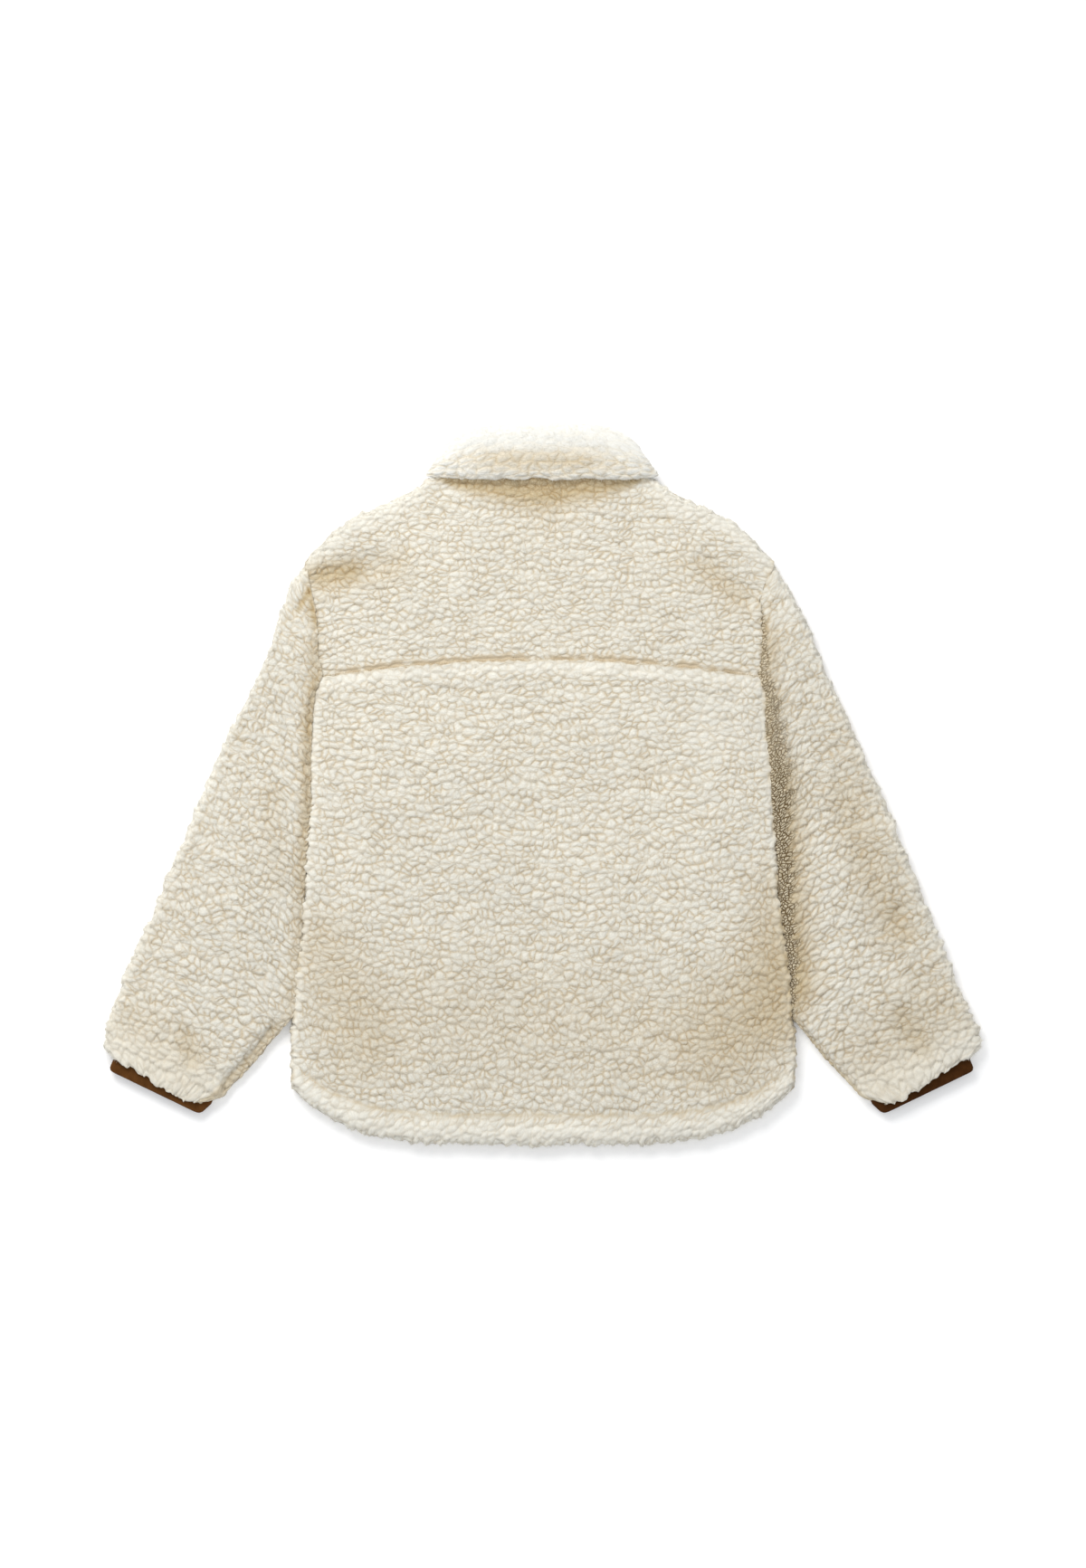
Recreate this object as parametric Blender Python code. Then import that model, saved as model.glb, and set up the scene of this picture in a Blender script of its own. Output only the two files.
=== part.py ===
"""A boxy sherpa fleece jacket, laid flat with its back up.

Every cut and sewn piece is its own closed solid: two fronts on the floor, a lower back and a
yoke lying on them, two flattened sleeve tubes, a turned-down collar, woven cuff bindings, and a
plain closure of press studs on an underlap. Walls reach as far as the pile does.

Frame: the origin is on the floor below the middle of the laid-out jacket. +X is to the right
seen from above, +Y runs from hem to collar and +Z is up. Sizes below are in millimetres, and
make_piece turns them into metres.
"""
import math
from collections import namedtuple

import bmesh
import bpy

# ---- driving sizes, mm ---------------------------------------------------------------------
SEAM_GAP = 0.3              # between two pieces that are sewn together
FRONT_WALL = 9.0            # backing and pile of the fronts
BACK_WALL = 10.0            # backing and pile of the back, which springs up
SLEEVE_WALL = 8.7           # each layer of a flattened sleeve
MID_HEIGHT = FRONT_WALL + SEAM_GAP / 2      # the level where front and back meet

HEM_SIDE = -334.0           # height of the hem at the side seams
HEM_DROP = 64.0             # how much lower the curved hem is at the centre
HEM_POWER = 4.6             # how square the hem's curve is
FRONT_HEM_RISE = 5.0        # the fronts are cut a little shorter than the back
YOKE_SIDE = 120.0           # height of the yoke seam at the armholes
YOKE_RISE = 19.0            # how much higher it is at the centre
SHOULDER_END = 237.0        # height of the shoulder's outer end
SHOULDER_RISE = 92.5        # from there up to the neck point
SHOULDER_POWER = 1.5        # how rounded the shoulder's slope is
UNDERARM = -26.0            # height of the lowest point of the armhole
NECK_SHARE = 0.46           # the neck point's place between the centre and the body's edge
BACK_NECK_RISE = 14.0       # the back neck seam's middle above the neck point
FRONT_NECK_DROP = 64.0      # the front neck seam's middle below the neck point
NECK_POINT = SHOULDER_END + SHOULDER_RISE

# The body's edge, which is the armhole seam above the underarm and the side seam below it.
Edge = namedtuple("Edge", "height left right")
BODY_EDGE = (
    Edge(-334, 276, 279),
    Edge(-295, 276, 280),
    Edge(-255, 276, 278),
    Edge(-213, 271, 274),
    Edge(-165, 266.5, 267.5),
    Edge(-127, 264, 263),
    Edge(-81, 262, 260.5),
    Edge(-26, 257, 256),
    Edge(33, 255.5, 251),
    Edge(68, 254, 247),
    Edge(104, 250, 246),
    Edge(120, 243.5, 240),
    Edge(139, 247.5, 243),
    Edge(163, 248.5, 243.5),
    Edge(184, 250, 243),
    Edge(213, 255.5, 242.5),
    Edge(237, 261, 256),
)

# A sleeve's sections, from the armhole to the cuff: its folded outer edge, and its inner edge,
# which lies against the body where inner is None.
Sleeve = namedtuple("Sleeve", "outer_height outer_left outer_right inner_height inner")
SLEEVES = (
    Sleeve(237, 261, 256, -26, None),
    Sleeve(229, 266, 262, -30, None),
    Sleeve(207, 279, 277, -44, None),
    Sleeve(177, 291, 293, -62, None),
    Sleeve(137, 306, 309, -81, None),
    Sleeve(57, 345, 345, -127, None),
    Sleeve(-13, 376, 377, -165, None),
    Sleeve(-93, 410, 409, -213, None),
    Sleeve(-163, 439, 438, -255, None),
    Sleeve(-213, 461, 457, -287, 300),
    Sleeve(-250, 475, 473, -313, 322),
    Sleeve(-275, 482, 483, -334, 342),
    Sleeve(-291, 481, 482, -348, 354),
    Sleeve(-299, 476, 476, -354, 362),
)

# Columns of the body's panels, as shares of the way from the centre to the edge.
BACK_COLUMNS = (0, 0.08, 0.16, 0.24, 0.30, 0.36, 0.41, 0.46, 0.52, 0.58, 0.64, 0.70, 0.76, 0.82,
                0.88, 0.94, 0.968, 0.988, 1)
FRONT_COLUMNS = (0, 0.062, 0.07, 0.15, 0.24, 0.36, 0.46, 0.58, 0.70, 0.82, 0.94, 0.968, 0.988, 1)

# Edges, seams and folds
RIM_ROUND = 9.0             # how far in from its edge the back reaches its full height
SIDE_RIM = 2.0              # height of the upright rim at the side seams
ARMHOLE_RIM = 4.5           # the same at the armholes, where the seam is shallower
NECK_RIM = 9.0              # thickness of the yoke where the collar lies on it
NECK_FLAT = 14.0            # how far down from the neck seam it stays so thin
HEM_STITCH = 0.062          # the turned hem's stitch line, as a share of the lower back
HEM_STITCH_DEPTH = 4.5
HEM_PUFF = 1.5              # the turned hem is thicker than the wall
YOKE_LEDGE = 5.5            # the flat strip along the yoke's lower edge
YOKE_LEDGE_DEPTH = 4.0

Fold = namedtuple("Fold", "x1 y1 x2 y2 width depth")
YOKE_FOLDS = (
    Fold(-246, 226, -165, 252, 17, 4.0),
    Fold(182, 252, 238, 226, 16, 4.0),
)
SLEEVE_FOLDS = {
    "left": (Fold(-392, -275, -384, -302, 16, 3.0), Fold(-330, 60, -290, -10, 22, 1.5)),
    "right": (Fold(330, -20, 385, -150, 24, 2.5), Fold(395, -255, 420, -290, 16, 3.0)),
}

# Sleeves
SLEEVE_TUCK = 26.0          # how far from the body the sleeve's top starts to dive
SLEEVE_FREE_ROUND = 15.0    # the same at its free inner edge
SLEEVE_CLEARANCE = 0.4      # between the sleeve's inner edge and the body's side seam
SLEEVE_HOLLOW = (0.05, 0.0913, 0.89, 0.95)  # shares of the width where the hollow starts and ends
# How much lower than its full height a section's top is: the armhole seam and the cuff.
SLEEVE_DIPS = {0: 4.5, 1: 1.5, len(SLEEVES) - 2: 0.8, len(SLEEVES) - 1: 4.0}

# Woven cuff binding past the fleece, as rings from the sleeve's end outwards
CuffRing = namedtuple("CuffRing", "reach inset half_height half_hollow")
CUFF_RINGS = (
    CuffRing(SEAM_GAP, 1.0, 3.8, 1.5),
    CuffRing(7.0, 1.5, 3.8, 1.5),
    CuffRing(14.0, 2.5, 3.8, 1.5),
    CuffRing(15.2, 4.5, 2.8, 1.1),
)
CUFF_WALL = 2.3
# A flattened ring's upper half: shares of its width, and heights there as shares of its own.
FLAT_RING = ((0.0, 0.0), (0.01, 0.75), (0.03, 1.0), (0.2, 1.0), (0.4, 1.0), (0.6, 1.0), (0.8, 1.0),
             (0.97, 1.0), (0.99, 0.75), (1.0, 0.0))

# Collar: a stand and a fall, folded over. A row is a section, from the back's centre round the
# neck to the front's edge. The seam's place is a share of the way to the body's edge, as the
# panels' columns are, and follows their neck seam where seam_y is None. turn is in degrees: 90
# lies on the back, 0 stands at the neck's side and -90 lies on the floor.
Station = namedtuple("Station", "seam seam_y fold_x fold_y edge_x edge_y turn")
COLLAR = (
    Station(0.00, None, 0, 390, 0, 336, 90),
    Station(0.08, None, 13, 390, 19, 336, 90),
    Station(0.16, None, 26, 390, 38, 336, 90),
    Station(0.24, None, 41, 390, 60, 335.5, 90),
    Station(0.30, None, 54, 389, 76, 335.5, 90),
    Station(0.36, None, 67, 386, 92, 337, 90),
    Station(0.396, 336.5, 79, 379, 105, 338, 86),
    Station(0.410, 336, 86, 371, 112, 338, 60),
    Station(0.412, 335.5, 90, 367, 114, 338, 25),
    Station(0.412, 335, 91, 364, 114, 338, -10),
    Station(0.410, 334, 90, 362, 112, 337, -45),
    Station(0.409, 326, 86, 358, 107, 329, -75),
    Station(0.36, None, 74, 348, 92, None, -90),
    Station(0.24, None, 49, 333, 62, None, -90),
    Station(0.15, None, 31, 324, 39, None, -90),
    Station(0.07, None, 14, 319, 18, None, -90),
    Station(0.003, None, 0.7, 317, 0.7, None, -90),
)
# Layers of the collar, as distances from its middle sheet: both faces of stand and fall.
Layers = namedtuple("Layers", "stand_in stand_out fall_in fall_out")
COLLAR_TOP = Layers(0.15, 8.6, 9.5, 19.2)
COLLAR_SIDE = Layers(0.15, 5.5, 6.2, 9.4)
COLLAR_UNDER = Layers(0.15, 4.3, 4.8, MID_HEIGHT)
FALL_PUFF = 1.5

# Closure on the underside
UNDERLAP_WIDTH = 28.0
UNDERLAP_THICKNESS = 2.0
UNDERLAP_TOP = 258.0
UNDERLAP_BOTTOM = -378.0
STUD_COUNT = 6
STUD_ACROSS = 8.6           # from the front's edge to the studs' axis
STUD_CAP_RADIUS = 6.5
STUD_CAP_HEIGHT = 2.2
STUD_POST_RADIUS = 2.4
STUD_TOP = 245.0
STUD_BOTTOM = -340.0

# Colours
CREAM = (0.83, 0.79, 0.68)
BROWN = (0.16, 0.06, 0.015)
STUD_METAL = (0.30, 0.22, 0.13)

SIDES = {"left": -1, "right": 1}


# ---- small helpers --------------------------------------------------------------------------
def mix(a, b, share):
    """The value that lies this share of the way from a to b."""
    return a + (b - a) * share


def look_up(x, pairs):
    """Straight-line value at x in a list of (x, value) pairs sorted by x."""
    for (x1, v1), (x2, v2) in zip(pairs, pairs[1:]):
        if x <= x2:
            return mix(v1, v2, max(0.0, (x - x1) / (x2 - x1)))
    return pairs[-1][1]


def quarter_round(distance, reach):
    """Rises as a quarter circle from 0 at the edge to 1 at reach."""
    share = min(1.0, max(0.0, distance / reach))
    return math.sqrt(1.0 - (1.0 - share) ** 2)


def bump(distance, width):
    """A soft bump: 1 at no distance, 0 from width on."""
    share = min(1.0, abs(distance) / width)
    return 0.5 + 0.5 * math.cos(math.pi * share)


def fold_depth(x, y, folds):
    """How deep the folds press at a place; each fades out to its sides and its ends."""
    depth = 0.0
    for fold in folds:
        run_x = fold.x2 - fold.x1
        run_y = fold.y2 - fold.y1
        length = math.hypot(run_x, run_y)
        along = ((x - fold.x1) * run_x + (y - fold.y1) * run_y) / length
        across = ((x - fold.x1) * run_y - (y - fold.y1) * run_x) / length
        past = max(0.0, -along, along - length)
        depth += fold.depth * bump(math.hypot(across, past), fold.width)
    return depth


# ---- the outline ----------------------------------------------------------------------------
def edge_x(side, height):
    """Distance of the body's edge from the centre."""
    return look_up(height, [(row.height, getattr(row, side)) for row in BODY_EDGE])


def hem_y(share):
    return HEM_SIDE - HEM_DROP * (1.0 - share ** HEM_POWER)


def yoke_y(share):
    return YOKE_SIDE + YOKE_RISE * (1.0 - share ** 2)


def shoulder_y(share):
    out = (share - NECK_SHARE) / (1.0 - NECK_SHARE)
    return SHOULDER_END + SHOULDER_RISE * (1.0 - out ** SHOULDER_POWER)


def back_top_y(share):
    """The yoke's upper edge: neck seam in the middle, shoulder beyond the neck point."""
    if share >= NECK_SHARE:
        return shoulder_y(share)
    return NECK_POINT + BACK_NECK_RISE * (1.0 - (share / NECK_SHARE) ** 2.5)


def front_top_y(share):
    """The fronts' upper edge: a deeper neck, and the same shoulder."""
    if share >= NECK_SHARE:
        return shoulder_y(share)
    return NECK_POINT - FRONT_NECK_DROP * (1.0 - (share / NECK_SHARE) ** 3)


# ---- meshes ---------------------------------------------------------------------------------
def make_material(name, colour, roughness, metallic=0.0):
    material = bpy.data.materials.new(name)
    material.use_nodes = True
    shader = material.node_tree.nodes["Principled BSDF"]
    shader.inputs["Base Color"].default_value = (*colour, 1.0)
    shader.inputs["Roughness"].default_value = roughness
    shader.inputs["Metallic"].default_value = metallic
    return material


def make_piece(name, shape, collection, material):
    """Turns a bmesh in millimetres into a named object in metres."""
    bmesh.ops.recalc_face_normals(shape, faces=shape.faces)
    bmesh.ops.scale(shape, vec=(0.001, 0.001, 0.001), verts=shape.verts)
    mesh = bpy.data.meshes.new(name)
    shape.to_mesh(mesh)
    shape.free()
    mesh.materials.append(material)
    mesh.shade_smooth()
    mesh.set_sharp_from_angle(angle=math.radians(40))
    piece = bpy.data.objects.new(name, mesh)
    collection.objects.link(piece)
    return piece


def add_strip(shape, first, second, closed):
    """Faces between two rows of vertices of the same length."""
    count = len(first) if closed else len(first) - 1
    for index in range(count):
        after = (index + 1) % len(first)
        shape.faces.new((first[index], first[after], second[after], second[index]))


def panel_solid(outer, inner):
    """A cloth panel: a grid of outer points over a grid of inner ones, closed round its edge."""
    shape = bmesh.new()
    out_rows = [[shape.verts.new(point) for point in row] for row in outer]
    in_rows = [[shape.verts.new(point) for point in row] for row in inner]
    for rows in (out_rows, in_rows):
        for first, second in zip(rows, rows[1:]):
            add_strip(shape, first, second, closed=False)
    for end in (0, -1):
        add_strip(shape, out_rows[end], in_rows[end], closed=False)
        out_side = [row[end] for row in out_rows]
        in_side = [row[end] for row in in_rows]
        add_strip(shape, out_side, in_side, closed=False)
    return shape


def tube_solid(outer, inner):
    """A flattened tube with a wall: rings of outer and inner points, open at both ends."""
    shape = bmesh.new()
    out_rings = [[shape.verts.new(point) for point in ring] for ring in outer]
    in_rings = [[shape.verts.new(point) for point in ring] for ring in inner]
    for rings in (out_rings, in_rings):
        for first, second in zip(rings, rings[1:]):
            add_strip(shape, first, second, closed=True)
    for end in (0, -1):
        add_strip(shape, out_rings[end], in_rings[end], closed=True)
    return shape


def folded_solid(rings):
    """A solid through a row of closed sections, capped at its two ends."""
    shape = bmesh.new()
    rows = [[shape.verts.new(point) for point in ring] for ring in rings]
    for first, second in zip(rows, rows[1:]):
        add_strip(shape, first, second, closed=True)
    shape.faces.new(rows[0])
    shape.faces.new(rows[-1])
    return shape


# ---- the back -------------------------------------------------------------------------------
def back_rows(columns):
    """Both sides' columns in one row, as (side, share) pairs from left to right."""
    left = [("left", share) for share in reversed(columns[1:])]
    return left + [("right", share) for share in columns]


def rim_height(height):
    """The back's upright rim is higher along the armhole than down the side seam."""
    share = min(1.0, max(0.0, (height - UNDERARM) / 30.0))
    return mix(SIDE_RIM, ARMHOLE_RIM, share)


def back_panel(rows, y_of, height_of):
    """A back panel's solid. rows are the panel's heights at its edge."""
    floor = MID_HEIGHT + SEAM_GAP / 2
    outer = []
    inner = []
    for height in rows:
        out_row = []
        in_row = []
        for side, share in back_rows(BACK_COLUMNS):
            reach = edge_x(side, height)
            x = SIDES[side] * reach * share
            y = y_of(share, height)
            rim = rim_height(height)
            full = height_of(side, share, height, x, y)
            rise = quarter_round(reach * (1.0 - share), RIM_ROUND)
            out_row.append((x, y, floor + rim + (full - rim) * rise))
            in_row.append((x, y, floor))
        outer.append(out_row)
        inner.append(in_row)
    return panel_solid(outer, inner)


def make_back_body(collection, material):
    span = YOKE_SIDE - HEM_SIDE
    stitch = HEM_SIDE + span * HEM_STITCH
    near_hem = [HEM_SIDE + step for step in (1.5, 4, 8, 14, 21)]
    near_stitch = [stitch + step for step in (-4, 0, 4, 9)]
    near_yoke = [YOKE_SIDE - step for step in (8, 4.5, 2)]
    edge_rows = [row.height for row in BODY_EDGE if row.height <= YOKE_SIDE]
    between = [-275, -234, -189, -146, -104, -53, 4, 50, 86]
    rows = sorted(edge_rows + near_hem + near_stitch + near_yoke + between)

    def y_of(share, height):
        v = (height - HEM_SIDE) / span
        return mix(hem_y(share), yoke_y(share) - SEAM_GAP / 2, v)

    def height_of(side, share, height, x, y):
        v = (height - HEM_SIDE) / span
        up = y - hem_y(share)
        down = yoke_y(share) - y
        full = BACK_WALL - HEM_STITCH_DEPTH * bump(v - HEM_STITCH, 0.013)
        full += HEM_PUFF * bump(v - 0.030, 0.030) + 0.8 * bump(down - 14, 14)
        at_hem = mix(SIDE_RIM, full, quarter_round(up, RIM_ROUND))
        at_yoke = mix(0.45, 1.0, quarter_round(down, 7.0))
        return at_hem * at_yoke

    return make_piece("back_body", back_panel(rows, y_of, height_of), collection, material)


def make_back_yoke(collection, material):
    span = SHOULDER_END - YOKE_SIDE
    near_seam = [YOKE_SIDE + span * v for v in (0.022, 0.034, 0.060, 0.10)]
    near_top = [YOKE_SIDE + span * v for v in (0.87, 0.93, 0.965, 0.988)]
    edge_rows = [row.height for row in BODY_EDGE if row.height >= YOKE_SIDE]
    between = [151, 174, 195, 204]
    rows = sorted(edge_rows + near_seam + near_top + between)

    def y_of(share, height):
        v = (height - YOKE_SIDE) / span
        return mix(yoke_y(share) + SEAM_GAP / 2, back_top_y(share), v)

    def height_of(side, share, height, x, y):
        up = y - yoke_y(share)
        down = back_top_y(share) - y
        full = BACK_WALL - fold_depth(x, y, YOKE_FOLDS)
        ledge = 1.0 - quarter_round(up - YOKE_LEDGE * 0.6, 5.0)
        full -= YOKE_LEDGE_DEPTH * ledge
        by_neck = look_up(share, [(0.41, 1.0), (0.52, 0.0)])
        full -= (BACK_WALL - NECK_RIM) * by_neck * bump(max(0.0, down - NECK_FLAT), NECK_FLAT)
        shoulder = mix(SIDE_RIM, full, quarter_round(down, RIM_ROUND))
        return mix(shoulder, full, by_neck)

    return make_piece("back_yoke", back_panel(rows, y_of, height_of), collection, material)


# ---- the fronts -----------------------------------------------------------------------------
def make_front(side, collection, material):
    """A front: flat on the floor, rounded at the side seam, hem and shoulder."""
    span = SHOULDER_END - HEM_SIDE
    near_hem = [HEM_SIDE + step for step in (2, 6, 12)]
    near_top = [SHOULDER_END - step for step in (6, 2.5, 1)]
    edge_rows = [row.height for row in BODY_EDGE]
    rows = sorted(edge_rows + near_hem + near_top)
    recess = UNDERLAP_THICKNESS + SEAM_GAP
    outer = []
    inner = []
    for height in rows:
        v = (height - HEM_SIDE) / span
        reach = edge_x(side, height)
        out_row = []
        in_row = []
        for share in FRONT_COLUMNS:
            x = SIDES[side] * max(reach * share, SEAM_GAP / 2)
            low = hem_y(share) + FRONT_HEM_RISE * (1.0 - share)
            top = front_top_y(share)
            y = mix(low, top, v)
            seam_round = quarter_round(reach * (1.0 - share), RIM_ROUND - 1.0)
            if height >= UNDERARM:
                seam_round = 1.0
            hem_round = quarter_round(y - low, RIM_ROUND - 1.0)
            top_round = quarter_round(top - y, RIM_ROUND - 1.0)
            if share <= NECK_SHARE:
                top_round = 1.0
            lift = (FRONT_WALL - SIDE_RIM) * (1.0 - seam_round * hem_round * top_round)
            out_row.append((x, y, lift))
            in_row.append((x, y, FRONT_WALL - (recess if share < 0.065 else 0.0)))
        outer.append(out_row)
        inner.append(in_row)
    return make_piece("front_" + side, panel_solid(outer, inner), collection, material)


# ---- the sleeves ----------------------------------------------------------------------------
def sleeve_columns():
    """Shares of a sleeve section from outer to inner edge, with the armhole seam's corners."""
    span = SHOULDER_END - UNDERARM
    corners = [(SHOULDER_END - row.height) / span for row in BODY_EDGE if row.height >= UNDERARM]
    return sorted(corners + [0.012, 0.035, 0.89, 0.95, 0.985])


def inner_edge_x(side, row):
    """The sleeve's inner edge: just clear of the body, or free of it."""
    return row.inner or edge_x(side, row.inner_height) + SLEEVE_CLEARANCE


def sleeve_width(side, row):
    across = getattr(row, "outer_" + side) - inner_edge_x(side, row)
    return math.hypot(across, row.outer_height - row.inner_height)


def sleeve_point(side, row, share):
    """A place on a sleeve section, in plan. The first one follows the armhole seam."""
    y = mix(row.outer_height, row.inner_height, share)
    x = mix(getattr(row, "outer_" + side), inner_edge_x(side, row), share)
    if row.outer_height == SHOULDER_END:
        x = edge_x(side, y) + SEAM_GAP
    return SIDES[side] * x, y


def inside_share(share):
    """The hollow stops short of the sleeve's two edges."""
    first, start, end, last = SLEEVE_HOLLOW
    if share < start:
        return mix(first, start, share / start)
    if share > end:
        return mix(end, last, (share - end) / (1.0 - end))
    return share


def sleeve_section(side, row, end_dip):
    """One outer and one inner ring, each from the outer edge over the top and back below."""
    middle = SLEEVE_WALL + SEAM_GAP / 2
    width = sleeve_width(side, row)
    tuck = SLEEVE_TUCK if row.inner is None else SLEEVE_FREE_ROUND
    upper = []
    lower = []
    in_upper = []
    in_lower = []
    for share in sleeve_columns():
        x, y = sleeve_point(side, row, share)
        top = 2 * middle - end_dip - fold_depth(x, y, SLEEVE_FOLDS[side])
        rise = quarter_round(width * share, RIM_ROUND) * quarter_round(width * (1.0 - share), tuck)
        nearest = width * min(share, 1.0 - share)
        upper.append((x, y, mix(middle, top, rise)))
        lower.append((x, y, middle * (1.0 - quarter_round(nearest, RIM_ROUND - 1.0))))
        in_x, in_y = sleeve_point(side, row, inside_share(share))
        half_gap = 0.0 if share in (0.0, 1.0) else SEAM_GAP / 2
        in_upper.append((in_x, in_y, middle + half_gap))
        in_lower.append((in_x, in_y, middle - half_gap))
    return upper + lower[-2:0:-1], in_upper + in_lower[-2:0:-1]


def make_sleeve(side, collection, material):
    """One cut piece closed into a tube, flattened, and open at the armhole and the cuff."""
    sections = [sleeve_section(side, row, SLEEVE_DIPS.get(index, 0.0))
                for index, row in enumerate(SLEEVES)]
    outer, inner = zip(*sections)
    return make_piece("sleeve_" + side, tube_solid(outer, inner), collection, material)


def make_cuff_binding(side, collection, material):
    """A folded woven strip round the sleeve's end: a low flat tube that shows past the fleece."""
    row = SLEEVES[-1]
    start_x = getattr(row, "outer_" + side)
    length = sleeve_width(side, row)
    along_x = (row.inner - start_x) / length
    along_y = (row.inner_height - row.outer_height) / length
    middle = SLEEVE_WALL + SEAM_GAP / 2
    section = FLAT_RING + tuple((share, -level) for share, level in FLAT_RING[-2:0:-1])

    def ring_points(ring, inset, half_height):
        points = []
        for share, level in section:
            place = mix(inset, length - inset, share)
            x = start_x + along_x * place - along_y * ring.reach
            y = row.outer_height + along_y * place + along_x * ring.reach
            points.append((SIDES[side] * x, y, middle + half_height * level))
        return points

    outer = [ring_points(ring, ring.inset, ring.half_height) for ring in CUFF_RINGS]
    inner = [ring_points(ring, ring.inset + CUFF_WALL, ring.half_hollow) for ring in CUFF_RINGS]
    return make_piece("cuff_binding_" + side, tube_solid(outer, inner), collection, material)


# ---- the collar -----------------------------------------------------------------------------
def collar_layers(turn):
    """Distances of the collar's faces at a place round the neck."""
    if turn >= 0:
        share = turn / 90.0
        return Layers(*(mix(side, top, share) for side, top in zip(COLLAR_SIDE, COLLAR_TOP)))
    share = -turn / 90.0
    return Layers(*(mix(side, low, share) for side, low in zip(COLLAR_SIDE, COLLAR_UNDER)))


def collar_section(side, station):
    """One folded section: up the stand, round the fold and down the fall, then back inside."""
    sign = SIDES[side]
    seam_x = station.seam * edge_x(side, SHOULDER_END)
    top_y = back_top_y if station.turn > 0 else front_top_y
    seam_y = station.seam_y or top_y(station.seam) + SEAM_GAP
    seam = (seam_x, seam_y)
    fold = (station.fold_x, station.fold_y)
    edge = (station.edge_x, station.edge_y or seam_y + 1.5)
    layers = collar_layers(station.turn)
    angle = math.radians(station.turn)
    nose = (layers.fall_out - layers.stand_in) / 2

    def place(start, share_of_way, off):
        """A point on the way from start to the fold, a distance off the middle sheet."""
        x = mix(start[0], fold[0], share_of_way) + off * math.cos(angle)
        y = mix(start[1], fold[1], share_of_way)
        return sign * x, y, MID_HEIGHT + off * math.sin(angle)

    puff = FALL_PUFF * max(0.0, math.sin(angle))
    middle = (layers.stand_in + layers.fall_out) / 2
    ring = [place(seam, 0.0, layers.stand_in), place(seam, 0.5, layers.stand_in)]
    for degrees in (-90, -45, 0, 45, 90):
        around = math.radians(degrees)
        x, y, z = place(edge, 1.0, middle + nose * math.sin(around))
        ring.append((x, y + 0.85 * nose * math.cos(around), z))
    ring.append(place(edge, 0.6, layers.fall_out + puff))
    ring.append(place(edge, 0.25, layers.fall_out + 0.8 * puff))
    thick = layers.fall_out - layers.fall_in
    ring.append(place(edge, 0.06, layers.fall_out - 0.15 * thick))
    ring.append(place(edge, 0.0, layers.fall_in + 0.5 * thick))
    ring.append(place(edge, 0.02, layers.fall_in))
    ring.append(place(edge, 0.88, layers.fall_in))
    ring.append(place(seam, 0.88, layers.stand_out))
    ring.append(place(seam, 0.0, layers.stand_out))
    return ring


def make_collar(collection, material):
    left = [collar_section("left", station) for station in reversed(COLLAR[1:])]
    middle = [collar_section("right", COLLAR[0])]
    right = [collar_section("right", station) for station in COLLAR[1:]]
    return make_piece("collar", folded_solid(left + middle + right), collection, material)


# ---- the closure ----------------------------------------------------------------------------
def make_underlap(collection, material):
    """A woven strip inside the fronts, which the studs close on."""
    shape = bmesh.new()
    bmesh.ops.create_cube(shape, size=1.0)
    length = UNDERLAP_TOP - UNDERLAP_BOTTOM
    bmesh.ops.scale(shape, vec=(UNDERLAP_WIDTH, length, UNDERLAP_THICKNESS), verts=shape.verts)
    upright = [edge for edge in shape.edges if abs(edge.verts[0].co.z - edge.verts[1].co.z) > 1]
    bmesh.ops.bevel(shape, geom=upright, offset=4.0, segments=3, affect="EDGES")
    place = (0, (UNDERLAP_TOP + UNDERLAP_BOTTOM) / 2, FRONT_WALL - UNDERLAP_THICKNESS / 2)
    bmesh.ops.translate(shape, vec=place, verts=shape.verts)
    return make_piece("front_underlap", shape, collection, material)


def stud_shape(clearance, reach_below):
    """A cap and a post, turned about Z. Its profile runs up from the cap's outer face."""
    cap = STUD_CAP_RADIUS + clearance
    post = STUD_POST_RADIUS + clearance
    base = SEAM_GAP - reach_below
    shoulder = SEAM_GAP + STUD_CAP_HEIGHT + clearance
    top = FRONT_WALL - UNDERLAP_THICKNESS - 2 * SEAM_GAP + 4 * clearance
    dome = 0.0 if reach_below else 0.6
    profile = [(0, base), (cap - dome, base), (cap, base + dome), (cap, shoulder), (post, shoulder),
               (post, top), (0, top)]
    if not dome:
        del profile[2]
    shape = bmesh.new()
    verts = [shape.verts.new((radius, 0, height)) for radius, height in profile]
    edges = [shape.edges.new(pair) for pair in zip(verts, verts[1:])]
    bmesh.ops.spin(shape, geom=verts + edges, cent=(0, 0, 0), axis=(0, 0, 1),
                   angle=math.tau, steps=20, use_merge=False)
    bmesh.ops.remove_doubles(shape, verts=shape.verts, dist=0.001)
    return shape


def make_studs(front, collection, cutters, material):
    """Press studs through the right front, sunk into its pile."""
    for index in range(STUD_COUNT):
        y = mix(STUD_TOP, STUD_BOTTOM, index / (STUD_COUNT - 1))
        place = (STUD_ACROSS * 0.001, y * 0.001, 0)
        name = "press_stud_" + str(index + 1)
        stud = make_piece(name, stud_shape(0.0, 0.0), collection, material)
        stud.location = place
        cutter = make_piece(name + "_hole", stud_shape(SEAM_GAP, 2.0), cutters, material)
        cutter.location = place
        cutter.hide_render = True
        cutter.display_type = "WIRE"
        hole = front.modifiers.new(name + "_hole", "BOOLEAN")
        hole.operation = "DIFFERENCE"
        hole.solver = "EXACT"
        hole.object = cutter


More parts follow.
